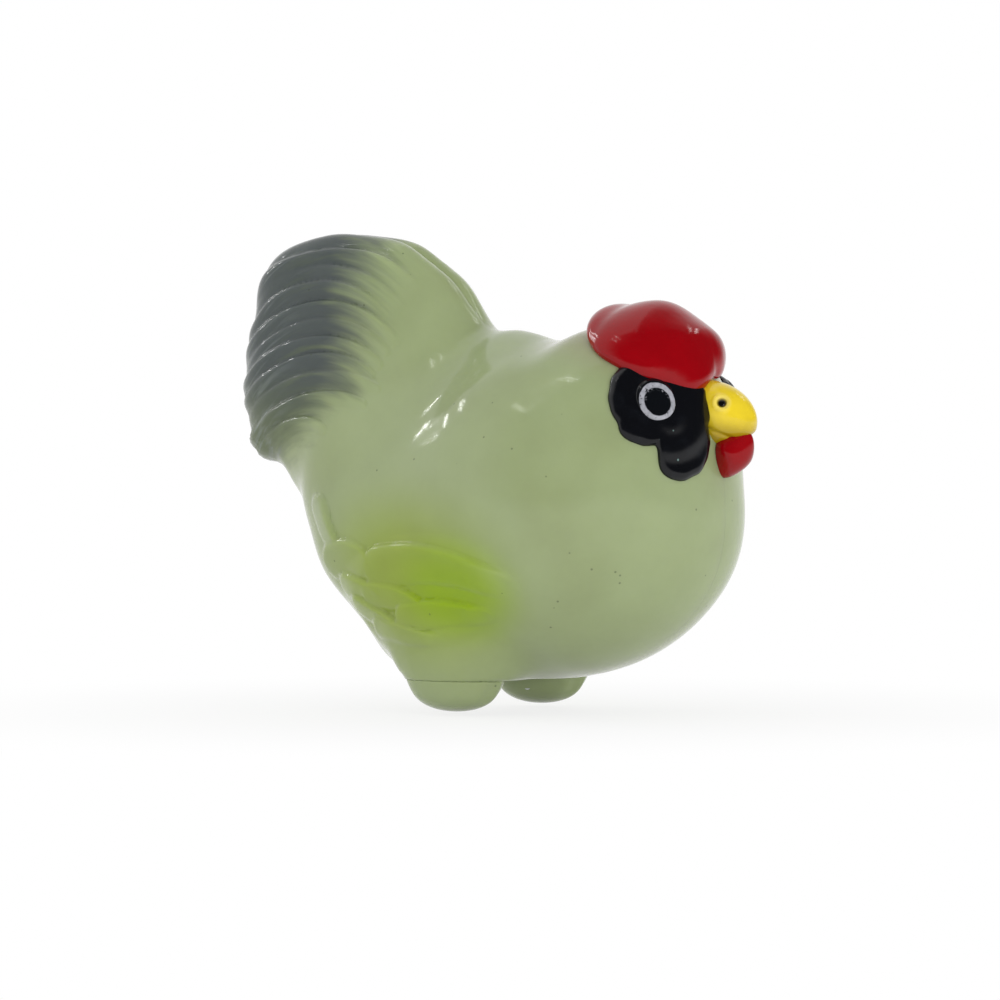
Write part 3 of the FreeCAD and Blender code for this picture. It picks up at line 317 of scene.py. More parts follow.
# %% [markdown]
# ## Two half shells
# Each half is a thin wall. Its rings run from the middle of the side, over the edge at the
# middle plane and back along the inside. Rings are spaced evenly along the skin, and columns
# are closer together where they cross the tail, because the feathers need the most points.
# The inside stops at the solid bosses of the screws and behind the knob's recess.

# %% Half shells
SCREWS = ((21.5, 21.0), (13.5, 39.5), (-18.5, 41.0))
BOSS_RADIUS, INNER_EDGE = 3.2, 0.8
KNOB_AXIS = (-7.016, 26.152)
LAND_RADIUS, LAND_START = 7.4, 14.5
OUTER_ROWS, INNER_ROWS, COLUMNS = 176, 34, 400


def column_angles(count):
    """Angles round the side, packed three times closer across the tail."""
    fine = np.linspace(0, 2 * math.pi, 2001)
    tail = np.exp(-((fine - math.radians(136)) / math.radians(26)) ** 2)
    total = np.concatenate([[0], np.cumsum(1 + 2.6 * tail)[:-1]])
    return np.interp(np.arange(count) / count * total[-1], total, fine)


def cavity_distance(p):
    """The hollow: the wall's thickness inside the skin, less the round bosses of the screws."""
    inside = -soft_min(-(body_distance(p) + WALL), p[..., 2] - BELLY - WALL, INNER_EDGE)
    for x, z in SCREWS:
        inside = np.maximum(inside, BOSS_RADIUS - np.hypot(p[..., 0] - x, p[..., 2] - z))
    return inside


def landed_cavity_distance(p):
    """The same hollow with a round solid land behind the knob, from LAND_START outwards."""
    land = np.maximum(np.hypot(p[..., 0] - KNOB_AXIS[0], p[..., 2] - KNOB_AXIS[1]) - LAND_RADIUS,
                      LAND_START - np.abs(p[..., 1]))
    return np.maximum(cavity_distance(p), -land)


def side_rays(tilt, angle):
    """Unit rays: tilt is the angle from the side's pole -Y, angle goes round from +X to +Z."""
    return np.stack([np.sin(tilt) * np.cos(angle), -np.cos(tilt) * np.ones_like(angle),
                     np.sin(tilt) * np.sin(angle)], -1)


def even_tilts(angles, rows):
    """Tilt of each ring on each column, so that the rings are evenly spaced along the skin."""
    trial = np.concatenate([np.linspace(0, 1.1, 70), np.linspace(1.1, math.pi / 2, 111)[1:]])
    tilt, angle = np.meshgrid(trial, angles, indexing="ij")
    rays = side_rays(tilt, angle)
    run = np.diff(crossing(HEART, rays, skin_distance, REACH, 90), axis=0)
    run = np.linalg.norm(run, axis=-1)
    along = np.vstack([np.zeros(len(angles)), np.cumsum(run, 0)]) / run.sum(0)
    goal = np.linspace(0, 1, rows)
    at = (along[None] < goal[:, None, None]).sum(1).clip(1, len(trial) - 1)
    before = np.take_along_axis(along, at - 1, 0)
    after = np.take_along_axis(along, at, 0)
    share = (goal[:, None] - before) / (after - before + 1e-12)
    return trial[at - 1] + share * (trial[at] - trial[at - 1])


def shell_rings(hollow_distance):
    """Outer rings with the relief, then inner rings; both end on the parting plane."""
    angles = column_angles(COLUMNS)
    rays = side_rays(even_tilts(angles, OUTER_ROWS), angles[None, :])
    skin = crossing(HEART, rays, skin_distance, REACH, 240)
    out = normals(skin, skin_distance)
    out[..., 1] *= smooth(0, 1.2, -skin[..., 1])
    out /= np.linalg.norm(out, axis=-1, keepdims=True)
    lift = relief(skin) * smooth(BELLY + 0.1, BELLY + 1.2, skin[..., 2])
    skin = skin + out * lift[..., None]
    tilt, angle = np.meshgrid(np.linspace(math.pi / 2, 0, INNER_ROWS), angles, indexing="ij")
    hollow = crossing(HEART, side_rays(tilt, angle), hollow_distance, REACH, 150, True)
    rings = np.concatenate([skin, hollow])
    rings[..., 1] = np.minimum(rings[..., 1], -PARTING / 2)
    return rings


shell_right = put_rings("shell_right", shell_rings(cavity_distance))
shell_left = put_rings("shell_left", shell_rings(landed_cavity_distance) * [1, -1, 1])
print("shell: %d faces each" % len(shell_right.data.polygons))

# %% [markdown]
# ## Openings in the shells
# The legs pass through a slot in each underside. The left half also has a well over each screw
# and a round recess for the knob, with the winding shaft's bore in its floor. These are plain
# cuts with crisp edges, so a Boolean modifier makes them and its result becomes the mesh. The
# cutters are lathe shapes along Y and boxes, thrown away afterwards.

# %% Cuts
SLOT_HALF, SLOT_NEAR, SLOT_FAR, SLOT_TOP = 4.2, 8.6, 11.0, 7.4
WELL_RADIUS, WELL_FLOOR = 1.9, 3.0
RECESS_RADIUS, RECESS_FLOOR, SHAFT_BORE, BORE_START = 5.8, 16.1, 1.4, 8
OUTSIDE = 30


def lathe_rings(axis, profile, columns=96):
    """Rings round a line along Y through (x, z): each (radius, y) of the profile is one circle."""
    radius, along = (np.array(profile, float)[:, k, None] for k in (0, 1))
    angle = round_angles(columns)
    return np.stack([axis[0] + radius * np.cos(angle), along + 0 * angle,
                     axis[1] + radius * np.sin(angle)], -1)


def drum(axis, radius, low):
    """Rings of a plain drum from a y value to well outside the bird."""
    return lathe_rings(axis, [(0, low), (radius, low), (radius, OUTSIDE), (0, OUTSIDE)])


def box_rings(x, y, low, high):
    """Rings of a box: its four corners at each height, with a pole in the middle of each end."""
    corner = np.array([(x[0], y[0]), (x[1], y[0]), (x[1], y[1]), (x[0], y[1])], float)
    rows = [(corner * 0 + corner.mean(0), low), (corner, low), (corner, high),
            (corner * 0 + corner.mean(0), high)]
    return np.stack([np.column_stack([flat, np.full(4, z)]) for flat, z in rows])


def carve(piece, cutters):
    """Cut each ring form out of the piece, and keep the result as its mesh."""
    for rings in cutters:
        tool = put_rings("cutter", rings)
        cut = piece.modifiers.new("cut", "BOOLEAN")
        cut.operation, cut.solver, cut.object = "DIFFERENCE", "EXACT", tool
        graph = bpy.context.evaluated_depsgraph_get()
        carved = bpy.data.meshes.new_from_object(piece.evaluated_get(graph))
        piece.modifiers.clear()
        piece.data = carved
        bpy.data.objects.remove(tool)
    piece.data.set_sharp_from_angle(angle=math.radians(50))
    print(piece.name, "has", len(piece.data.polygons), "faces after", len(cutters), "cuts")


carve(shell_right, [box_rings((-SLOT_HALF, SLOT_HALF), (-SLOT_FAR, -SLOT_NEAR), -1, SLOT_TOP)])
carve(shell_left, [box_rings((-SLOT_HALF, SLOT_HALF), (SLOT_NEAR, SLOT_FAR), -1, SLOT_TOP)]
      + [drum(place, WELL_RADIUS, WELL_FLOOR) for place in SCREWS]
      + [drum(KNOB_AXIS, RECESS_RADIUS, RECESS_FLOOR), drum(KNOB_AXIS, SHAFT_BORE, BORE_START)])

# %% [markdown]
# ## Comb, beak and wattle
# These are thick soft blobs on the head, and rays that fan out round an axis make all three. Beak
# and wattle are caps: where a ray leaves the blob's own form outside the skin, it gives the
# visible top, and the fan stops where the form dips under the skin. The comb is a pillow draped
# over the head: its outline is drawn as angles from its axis, and its height is measured from the
# skin. Each underside comes back along the skin, a little sunk, so that no gap shows.

# %% Caps on the head
SEAT, NEARBY = 0.35, 16


def fan_rays(axis, tilt, columns):
    """Unit rays at an angle tilt from the axis; columns go evenly round it."""
    axis = np.array(axis, float) / np.linalg.norm(axis)
    first = np.cross(axis, [0, 1, 0])
    first /= np.linalg.norm(first)
    second = np.cross(axis, first)
    angle = round_angles(columns)[None, :, None]
    round_axis = np.cos(angle) * first + np.sin(angle) * second
    return np.cos(tilt)[..., None] * axis + np.sin(tilt)[..., None] * round_axis


def sunk_skin(p):
    """A surface under the skin, as deep as the pieces on it are seated."""
    return skin_distance(p) + SEAT


def cap_rings(start, axis, form, rows, columns):
    """Rings over a form from its axis to where it meets the sunk skin, then back below."""
    start = np.array(start, float)
    trial = np.linspace(0.02, 2.5, 140)[:, None] * np.ones(columns)
    rays = fan_rays(axis, trial, columns)
    depth = sunk_skin(crossing(start, rays, form, NEARBY, 60))
    at = (depth < 0).argmax(0).clip(1)
    here = np.arange(columns)
    outside, inside = depth[at - 1, here], depth[at, here]
    rim = trial[at - 1, 0] + (trial[at, 0] - trial[at - 1, 0]) * outside / (outside - inside)
    tilt = rim * np.sin(np.linspace(0, math.pi / 2, rows))[:, None]
    top = crossing(start, fan_rays(axis, tilt, columns), form, NEARBY, 60)
    tilt = rim * np.linspace(1, 0, rows // 4)[1:, None]
    under = crossing(start, fan_rays(axis, tilt, columns), sunk_skin, NEARBY, 60, True)
    return np.concatenate([top, under])


def leaned(p, centre, degrees):
    """Coordinates along and across a piece that leans nose-down by an angle."""
    turn = math.radians(degrees)
    dx, dz = p[..., 0] - centre[0], p[..., 2] - centre[1]
    return (dx * math.cos(turn) - dz * math.sin(turn), p[..., 1],
            dx * math.sin(turn) + dz * math.cos(turn))


def bump(value, centre, width):
    """A bell: exp of minus the squared distance from the centre in widths."""
    return np.exp(-((value - centre) / width) ** 2)


def smoothed(ring):
    """Three times, each value becomes the mean of itself and two neighbours on each side."""
    for _ in range(3):
        ring = sum(np.roll(ring, shift) for shift in (2, 1, 0, -1, -2)) / 5
    return ring


print("cap helpers ready")

# %% Comb
COMB_LEAN, COMB_THICK = 24, 3.3
HEAD, HEAD_REACH = np.array([21.0, 0.0, 35.0]), 18
COMB_EDGE = (
    # degrees round the comb from its back, degrees from its axis to its edge
    (0, 56), (30, 57), (52, 60.5), (66, 62), (76, 61), (88, 60.5), (101, 59), (113, 57),
    (128, 56), (142, 52), (155, 45), (168, 38), (180, 35),
)


def comb_edge(angle):
    """Angle between the comb's axis and its edge, smoothed; the left side is shorter in front."""
    turn = np.degrees(np.abs((angle + math.pi) % (2 * math.pi) - math.pi))
    edge = np.interp(turn, *np.transpose(COMB_EDGE)) - 17 * bump(turn, 130, 34) * (angle > math.pi)
    return smoothed(np.radians(edge))


def comb_height(share, tilt, angle):
    """A pillow T sqrt(1 - share^3), with a hump and a dip along its top and a full front."""
    back = np.degrees(tilt) * np.cos(angle)
    across = np.degrees(tilt) * np.sin(angle)
    swell = (0.60 * bump(back, 17, 11) * bump(across, 0, 30) - 0.25 * bump(back, 36, 5)
             + 0.65 * bump(back, 46, 8) - 1.3 * smooth(-6, -32, back))
    uneven = 0.10 * np.sin(across / 9 + 1) * np.sin(back / 11)
    return (COMB_THICK + swell + uneven) * np.sqrt(np.clip(1 - share ** 3, 0, 1))


def comb_rings(rows, columns):
    """Rings from the comb's axis to its edge, then back under the skin."""
    axis = (math.sin(math.radians(COMB_LEAN)), 0, math.cos(math.radians(COMB_LEAN)))
    angle = round_angles(columns)
    over = np.sin(np.linspace(0, math.pi / 2, rows))
    share = np.concatenate([over, np.linspace(1, 0, 26)[1:]])[:, None]
    tilt = share * comb_edge(angle)
    rays = fan_rays(axis, tilt, columns)
    height = comb_height(share, tilt, angle)
    height[rows:] = -SEAT
    return crossing(HEAD, rays, skin_distance, HEAD_REACH, 90, True) + rays * height[..., None]


comb = put_rings("comb_cap", comb_rings(110, 220))
print("comb: %d faces" % len(comb.data.polygons))

# %% Beak
BEAK_PLACE, BEAK_HALF, BEAK_LEAN = (28.6, 35.9), (5.9, 3.6, 3.5), 14
NOSTRIL = (31.5, 2.95, 37.0)
NOSTRIL_RADIUS = 0.62
MOUTH_DROP = -1.7


def beak_form(p):
    """An egg with a blunt tip that hooks down, a mouth groove low on each side and a pit with a
    raised rim for each nostril; negative inside."""
    u, v, w = leaned(p, BEAK_PLACE, BEAK_LEAN)
    w = w + 0.022 * np.maximum(u, 0) ** 2 - 0.15
    tall = BEAK_HALF[2] * (1 + (0.20 - 0.55 * smooth(1.5, 5.8, u)) * smooth(0.5, -0.5, w))
    k = (np.abs(u / BEAK_HALF[0]) ** 2.3 + np.abs(v / BEAK_HALF[1]) ** 2.1
         + np.abs(w / tall) ** 2.1) ** (1 / 2.15)
    groove = 0.05 * bump(w + 0.05 * u, MOUTH_DROP, 0.28) * smooth(5.6, 3.5, u)
    away = np.sqrt((p[..., 0] - NOSTRIL[0]) ** 2 + (np.abs(p[..., 1]) - NOSTRIL[1]) ** 2
                   + (p[..., 2] - NOSTRIL[2]) ** 2)
    pit = 0.13 * smooth(NOSTRIL_RADIUS + 0.15, NOSTRIL_RADIUS - 0.25, away)
    rim = 0.035 * bump(away, NOSTRIL_RADIUS + 0.35, 0.3)
    return k - 1 + groove + pit - rim


beak = put_rings("beak_cap", cap_rings((25.6, 0, 36.3), (0.97, 0, -0.24), beak_form, 120, 220))
print("beak reaches x = %.2f mm" % (max(v.co.x for v in beak.data.vertices) / MM))

# %% Wattle
WATTLE_PLACE, WATTLE_HALF, WATTLE_LEAN = (31.4, 31.1), (2.35, 2.5, 3.3), 33


def wattle_form(p):
    """A drop whose low end is drawn back towards the breast; negative inside."""
    u, v, w = leaned(p, WATTLE_PLACE, WATTLE_LEAN)
    long = 1 - 0.16 * smooth(0.5, -3.0, w)
    wide = long - 0.12 * smooth(0.5, -3.0, w) - 0.35 * smooth(0, 3, w)
    k = np.sqrt((u / (WATTLE_HALF[0] * long)) ** 2 + (v / (WATTLE_HALF[1] * wide)) ** 2
                + (w / WATTLE_HALF[2]) ** 2)
    return k - 1


wattle = put_rings("wattle_drop", cap_rings((29.4, 0, 31.2), (1, 0, 0), wattle_form, 70, 120))
print("wattle hangs down to z = %.2f mm" % (min(v.co.z for v in wattle.data.vertices) / MM))

# %% [markdown]
# ## Cheeks and eyes
# The black cheek is a thick coat of enamel over a raised patch, with a round back, a corner
# that touches the beak and a drop that hangs down like a lappet. Its outline lies in a plane
# that faces the cheek, and the one on the left is a little smaller. Every point of the plane is
# pushed along the plane's normal onto the skin, and the patch stands off the skin with a rolled
# edge. An eye is a low dome on top of it.

# %% Draped patches
CHEEK_TURN, CHEEK_MIDDLE = 40, (15.5, 35.0)
CHEEK_OUTLINE = (
    (10.3, 41.0), (9.1, 39.6), (8.5, 37.8), (8.7, 35.9), (9.35, 34.4), (9.8, 33.0), (11.9, 32.0),
    (13.8, 32.0), (14.1, 31.0), (14.0, 30.1), (14.5, 28.6), (16.8, 27.8), (19.1, 28.5),
    (20.6, 30.9), (20.8, 32.6), (20.6, 34.3), (21.5, 36.1), (20.6, 37.3), (20.5, 38.4),
    (18.5, 40.0), (14.0, 42.3),
)
CHEEK_THICK, CHEEK_EDGE = 0.8, 1.1
SMALL_MIDDLE = (15.0, 35.2)
UNDER_ROWS = 12


def outline_reach(outline, middle, columns):
    """Distance from the middle to the outline at evenly spaced angles.

    The corners are joined in polar form and smoothed, and two small waves make the edge handmade."""
    x, z = np.array(outline).T - np.array(middle)[:, None]
    angle, reach = np.arctan2(z, x), np.hypot(x, z)
    goal = np.linspace(-math.pi, math.pi, columns, endpoint=False)
    order = np.argsort(angle)
    reach = smoothed(np.interp(goal, angle[order], reach[order], period=2 * math.pi))
    return goal, reach * (1 + 0.006 * np.sin(13 * goal + 1) + 0.004 * np.sin(23 * goal))


def plane_axes(turn):
    """Unit vectors along a standing plane and out of it, for a plane that faces an azimuth."""
    a = math.radians(turn)
    return np.array([math.cos(a), math.sin(a), 0]), np.array([math.sin(a), -math.cos(a), 0])


def draped_rings(middle, turn, angle, reach, share, height, sunk=-0.3):
    """Rings at each share of the reach, pushed onto the skin and lifted by height(share, reach);
    then back to the middle, sunk under the skin."""
    along, out = plane_axes(turn)
    share = np.concatenate([share, np.linspace(1, 0, UNDER_ROWS)[1:]])[:, None]
    flat = middle[0] + share * reach * np.cos(angle)
    high = middle[1] + share * reach * np.sin(angle)
    start = flat[..., None] * along + 12 * out + high[..., None] * np.array([0, 0, 1])
    rays = np.broadcast_to(out, start.shape)
    foot = crossing(start, rays, skin_distance, NEARBY, 80, True)
    lift = height(share, reach * np.ones_like(share))
    lift[1 - UNDER_ROWS:] = sunk
    return foot + normals(foot, skin_distance) * lift[..., None]


def cheek_height(share, reach):
    """A flat coat whose edge is a quarter circle, CHEEK_EDGE wide, with slow unevenness."""
    inward = np.clip((1 - share) * reach / CHEEK_EDGE, 0, 1)
    return CHEEK_THICK * np.sqrt(1 - (1 - inward) ** 2) * (1 + 0.08 * np.sin(2.1 * share * reach))


cheek_angle, cheek_reach = outline_reach(CHEEK_OUTLINE, CHEEK_MIDDLE, 320)
cheek_share = 1 - (1 - np.linspace(0, 1, 60)) ** 1.6
cheek_right = put_rings("cheek_right", draped_rings(
    CHEEK_MIDDLE, CHEEK_TURN, cheek_angle, cheek_reach, cheek_share, cheek_height))
small_reach = cheek_reach * (0.95 - 0.18 * bump(cheek_angle, -1.5, 0.6)
                             - 0.34 * bump(cheek_angle, 1.4, 0.8))
cheek_left = put_rings("cheek_left", draped_rings(
    SMALL_MIDDLE, CHEEK_TURN, cheek_angle, small_reach, cheek_share, cheek_height) * [1, -1, 1])
print("cheek: %d faces" % len(cheek_right.data.polygons))

# %% Eyes
EYE = (25.9, 9.25, 37.05)
EYE_TURN, EYE_RADIUS = 50, 2.55
RING_RADIUS, RING_HALF = 1.92, 0.30


def eye_height(share, reach):
    """A lens over the cheek: a low dome with a slight ridge where the pale ring is."""
    away = share * reach
    dome = 0.34 * (1 - share ** 2) - CHEEK_THICK * smooth(0.88, 1, share) * 0.6
    return CHEEK_THICK + 0.02 + dome + 0.10 * bump(away, RING_RADIUS, 0.22)


EYE_COLUMNS = 160
eye_angle = np.linspace(-math.pi, math.pi, EYE_COLUMNS, endpoint=False)
eye_middle = (float(np.array([EYE[0], -EYE[1], 0]) @ plane_axes(EYE_TURN)[0]), EYE[2])
eye_rings = draped_rings(eye_middle, EYE_TURN, eye_angle, np.full(EYE_COLUMNS, EYE_RADIUS),
                         np.linspace(0, 1, 60), eye_height, 0.1)
eye_right = put_rings("eye_dome_right", eye_rings)
eye_left = put_rings("eye_dome_left", eye_rings * [1, -1, 1])
print("eyes at z = %.1f mm" % EYE[2])

# %% [markdown]
# ## Feet
# The feet are the lower ends of the same hips that swell out of the body, cut off just under
# the belly. A soft minimum rounds the sole, and shallow waves in front hint at toes.

# %% Feet
FOOT_TOP, TOP_ROUND, SOLE_ROUND = 4.19, 0.03, 2.6


def foot_form(p):
    """The hip's ellipsoid between the ground and the belly: a well rounded sole, toe waves, and a
    crisp top edge."""
    toes = 0.12 * np.cos(2.6 * (p[..., 1] - HIP[6])) * smooth(2.5, 5.5, p[..., 0])
    lump = soft_min(-lump_distance(p, HIP) + toes, p[..., 2], SOLE_ROUND)
    return -soft_min(lump, FOOT_TOP - p[..., 2], TOP_ROUND)


foot_middle = np.array([HIP[0], HIP[6], 2.0])
foot_rays = side_rays(np.linspace(0, math.pi, 120)[:, None], round_angles(220))
foot_rays = foot_rays[..., [0, 2, 1]] * [1, 1, -1]
foot_rings = crossing(foot_middle, foot_rays, foot_form, NEARBY, 90)
foot_left = put_rings("foot_shape_left", foot_rings)
foot_right = put_rings("foot_shape_right", foot_rings * [1, -1, 1])
print("foot: x %.1f to %.1f mm" % (foot_rings[..., 0].min(), foot_rings[..., 0].max()))

# %% [markdown]
# ## The winding knob
# The knob is a small ivory disc with a rounded, grooved rim for the fingers and a shallow dish
# in its face. It is a lathe profile whose radius also waves round the axis.

# %% Knob
KNOB_RADIUS, KNOB_BACK, KNOB_FACE = 5.4, 16.5, 20.9
KNOB_EDGE, DISH_DEPTH = 0.7, 0.5
KNOB_GROOVES, GROOVE_DEPTH = 18, 0.42


def knob_rings(columns=432):
    """Rings from the middle of the back, over a rounded rim, to the dish in the face."""
    turn = np.linspace(0, math.pi / 2, 12)[1:]
    flat, low_y, high_y = KNOB_RADIUS - KNOB_EDGE, KNOB_BACK + KNOB_EDGE, KNOB_FACE - KNOB_EDGE
    back = [(r, KNOB_BACK) for r in np.linspace(0, flat, 14)]
    low = [(flat + KNOB_EDGE * math.sin(a), low_y - KNOB_EDGE * math.cos(a)) for a in turn]
    side = [(KNOB_RADIUS, y) for y in np.linspace(low_y, high_y, 12)[1:]]
    high = [(flat + KNOB_EDGE * math.cos(a), high_y + KNOB_EDGE * math.sin(a)) for a in turn]
    dish = [(r, KNOB_FACE - DISH_DEPTH * float(smooth(4.2, 2.2, r)))
            for r in np.linspace(flat, 0, 30)[1:]]
    rings = lathe_rings((0, 0), back + low + side + high + dish, columns)
    radius = np.hypot(rings[..., 0], rings[..., 2])
    angle = np.arctan2(rings[..., 2], rings[..., 0])
    groove = GROOVE_DEPTH * (0.5 + 0.5 * np.cos(KNOB_GROOVES * angle)) ** 1.5
    shrink = 1 - groove * smooth(3.9, KNOB_RADIUS - 0.2, radius) / np.maximum(radius, 1)
    rings[..., 0] *= shrink
    rings[..., 2] *= shrink
    return rings + [KNOB_AXIS[0], 0, KNOB_AXIS[1]]


knob = put_rings("knob_wheel", knob_rings())
print("knob: %d grooves" % KNOB_GROOVES)

# %% [markdown]
# ## Tools for materials
# Every finish is a small graph of nodes. The helpers below add one node and feed its inputs, so
# that each material reads like a recipe. A socket knows which tree it belongs to, so only the
# first node of a finish has to be told. Positions come from Object coordinates, turned into
# millimetres, because a whole pattern is easier to place in the same units as the shapes.

# %% Node helpers
def srgb(red, green, blue):
    """A colour from its display values of 0 to 255, as the linear numbers that shaders use."""
    share = np.array([red, green, blue]) / 255
    linear = np.where(share <= 0.04045, share / 12.92, ((share + 0.055) / 1.055) ** 2.4)
    return (*linear.tolist(), 1.0)


def feed(inputs, values):
    """Link each socket among the values to its input, and write plain values into the others."""
    for key, value in values.items():
        if isinstance(value, bpy.types.NodeSocket):
            value.id_data.links.new(value, inputs[key])
        else:
            inputs[key].default_value = value


def add_node(tree, kind, feeds=None, **options):
    """Add a node, set its options, and feed its inputs."""
    node = tree.nodes.new("ShaderNode" + kind)
    for option, value in options.items():
        setattr(node, option, value)
    feed(node.inputs, feeds or {})
    return node


def fed(kind, feeds, **options):
    """The outputs of a new node in the tree of the sockets that feed it."""
    tree = next(value.id_data for value in feeds.values() if isinstance(value, bpy.types.NodeSocket))
    return add_node(tree, kind, feeds, **options).outputs


def calc(operation, *values):
    """One Math node."""
    return fed("Math", dict(enumerate(values)), operation=operation)[0]


def times(first, second):
    """The product of two numbers."""
    return calc("MULTIPLY", first, second)


def ramp(value, low, high):
    """Smoothstep from 0 at low to 1 at high; low may be the larger one."""
    feeds = {"Value": value, "From Min": low, "From Max": high}
    return fed("MapRange", feeds, interpolation_type="SMOOTHSTEP")[0]


def blend(amount, first, second, most=1.0):
    """Mix two colours; where the amount is 1, the second has the share that most gives."""
    if most < 1:
        amount = times(amount, most)
    return fed("Mix", {0: amount, 6: first, 7: second}, data_type="RGBA")[2]


def noise(where, scale, detail=2.0):
    """Soft noise from 0 to 1."""
    return fed("TexNoise", {"Vector": where, "Scale": scale, "Detail": detail})[0]


def stretched(where, factors):
    """A position scaled by its own factor along each axis."""
    return fed("VectorMath", {0: where, 1: factors}, operation="MULTIPLY")[0]


def distance_to(where, point):
    """Distance from a point, in the units of the position."""
    return fed("VectorMath", {0: where, 1: point}, operation="DISTANCE")["Value"]


def axes_of(where):
    """x, the distance from the middle plane, and z."""
    axes = fed("SeparateXYZ", {0: where})
    return axes["X"], calc("ABSOLUTE", axes["Y"]), axes["Z"]


def joined(x, y, z):
    """A position from its three numbers."""
    return fed("CombineXYZ", {0: x, 1: y, 2: z})[0]


def new_group(name, inputs, outputs):
    """An empty node group with named sockets; returns it with its input and output nodes."""
    group = bpy.data.node_groups.new(name, "ShaderNodeTree")
    for side, sockets in (("INPUT", inputs), ("OUTPUT", outputs)):
        for label, kind in sockets.items():
            group.interface.new_socket(name=label, in_out=side, socket_type="NodeSocket" + kind)
    return group, group.nodes.new("NodeGroupInput").outputs, group.nodes.new("NodeGroupOutput").inputs


def use_group(group, **feeds):
    """Place a group in a material and feed its inputs; returns its outputs."""
    return fed("Group", feeds, node_tree=group)


def new_material(name):
    """A material without nodes, and its tree."""
    material = bpy.data.materials.new(name)
    material.use_nodes = True
    material.node_tree.nodes.clear()
    return material, material.node_tree


def new_finish(name, settings):
    """A material with a Principled surface and its plain settings; returns it, its shader's inputs
    and the position in millimetres."""
    material, tree = new_material(name)
    shader = add_node(tree, "BsdfPrincipled", settings)
    add_node(tree, "OutputMaterial", {0: shader.outputs[0]})
    place = add_node(tree, "TexCoord").outputs["Object"]
    return material, shader.inputs, stretched(place, (1 / MM,) * 3)


print("node helpers ready")

# %% [markdown]
# ## Effects that several finishes share
# Real lacquer is never quite level and never one colour. Three node groups give that: one makes
# a colour drift a little lighter and darker, one scatters tiny specks of dust, and one tilts the
# surface with slow waves and a fine orange peel. A fourth adds wear and file marks to metal.

# %% Shared node groups
def bumped(height):
    """The normal that a height in metres gives."""
    return fed("Bump", {"Height": height, "Distance": 1.0, "Strength": 1.0})[0]


def make_drift():
    """Colour times one plus or minus the amount, following noise of two sizes."""
    group, given, result = new_group(
        "colour_drift", {"Colour": "Color", "Position": "Vector", "Scale": "Float", "Amount": "Float"},
        {"Colour": "Color"})
    broad = noise(given["Position"], given["Scale"])
    fine = noise(given["Position"], times(given["Scale"], 5.0), 4.0)
    total = calc("SUBTRACT", calc("MULTIPLY_ADD", fine, 0.35, broad), 0.675)
    factor = calc("MULTIPLY_ADD", total, given["Amount"], 1.0)
    scaled = fed("VectorMath", {0: given["Colour"], "Scale": factor}, operation="SCALE")
    feed(result, {"Colour": scaled[0]})
    return group


def make_specks():
    """A mask of small round specks, one in a share of the cells of a grid."""
    group, given, result = new_group(
        "specks", {"Position": "Vector", "Scale": "Float", "Share": "Float"}, {"Mask": "Float"})
    cells = fed("TexVoronoi", {"Vector": given["Position"], "Scale": given["Scale"]})
    dot = ramp(cells["Distance"], 0.16, 0.08)
    lucky = fed("TexWhiteNoise", {"Vector": cells["Position"]})["Value"]
    feed(result, {"Mask": times(dot, calc("LESS_THAN", lucky, given["Share"]))})
    return group


def make_lacquer():
    """A normal tilted by slow waves and by fine orange peel, each with its own depth in mm."""
    group, given, result = new_group(
        "lacquer", {"Position": "Vector", "Waves": "Float", "Peel": "Float"}, {"Normal": "Vector"})
    waves = times(noise(given["Position"], 0.35), given["Waves"])
    peel = times(noise(given["Position"], 4.0), given["Peel"])
    feed(result, {"Normal": bumped(times(calc("ADD", waves, peel), MM))})
    return group


def make_metal_wear():
    """Colour, roughness and normal of metal with fine marks, dull blotches and a little tarnish."""
    group, given, result = new_group(
        "metal_wear",
        {"Colour": "Color", "Tarnish": "Color", "Position": "Vector", "Roughness": "Float"},
        {"Colour": "Color", "Roughness": "Float", "Normal": "Vector"})
    blotch = noise(given["Position"], 0.6, 4.0)
    marks = noise(stretched(given["Position"], (1.5, 20.0, 1.5)), 2.0, 3.0)
    rough = calc("MULTIPLY_ADD", blotch, 0.18, given["Roughness"])
    feed(result, {
        "Colour": blend(ramp(blotch, 0.45, 0.75), given["Colour"], given["Tarnish"], 0.5),
        "Roughness": calc("MULTIPLY_ADD", marks, 0.08, rough),
        "Normal": bumped(times(marks, 0.006 * MM))})
    return group


drift, specks, lacquer, metal_wear = make_drift(), make_specks(), make_lacquer(), make_metal_wear()
print("groups:", ", ".join(group.name for group in bpy.data.node_groups))

# %% [markdown]
# ## The top coat
# Each lacquered finish ends in the same way: its colour drifts, some catch a little dust, and
# the lacquer's normal goes to the shader beside the colour.

# %% Top coat
def drifting(colour, place, scale, amount):
    """The colour after the drift group."""
    return use_group(drift, Colour=colour, Position=place, Scale=scale, Amount=amount)["Colour"]


def dusty(colour, place, share, tone, most):
    """The colour with specks of another tone on it."""
    dust = use_group(specks, Position=place, Scale=0.9, Share=share)["Mask"]
    return blend(dust, colour, tone, most)


def top_coat(surface, place, colour, waves, peel):
    """Give the shader its colour, and the lacquer's normal for two depths in mm."""
    normal = use_group(lacquer, Position=place, Waves=waves, Peel=peel)["Normal"]
    feed(surface, {"Base Color": colour, "Normal": normal})


print("top coat ready")
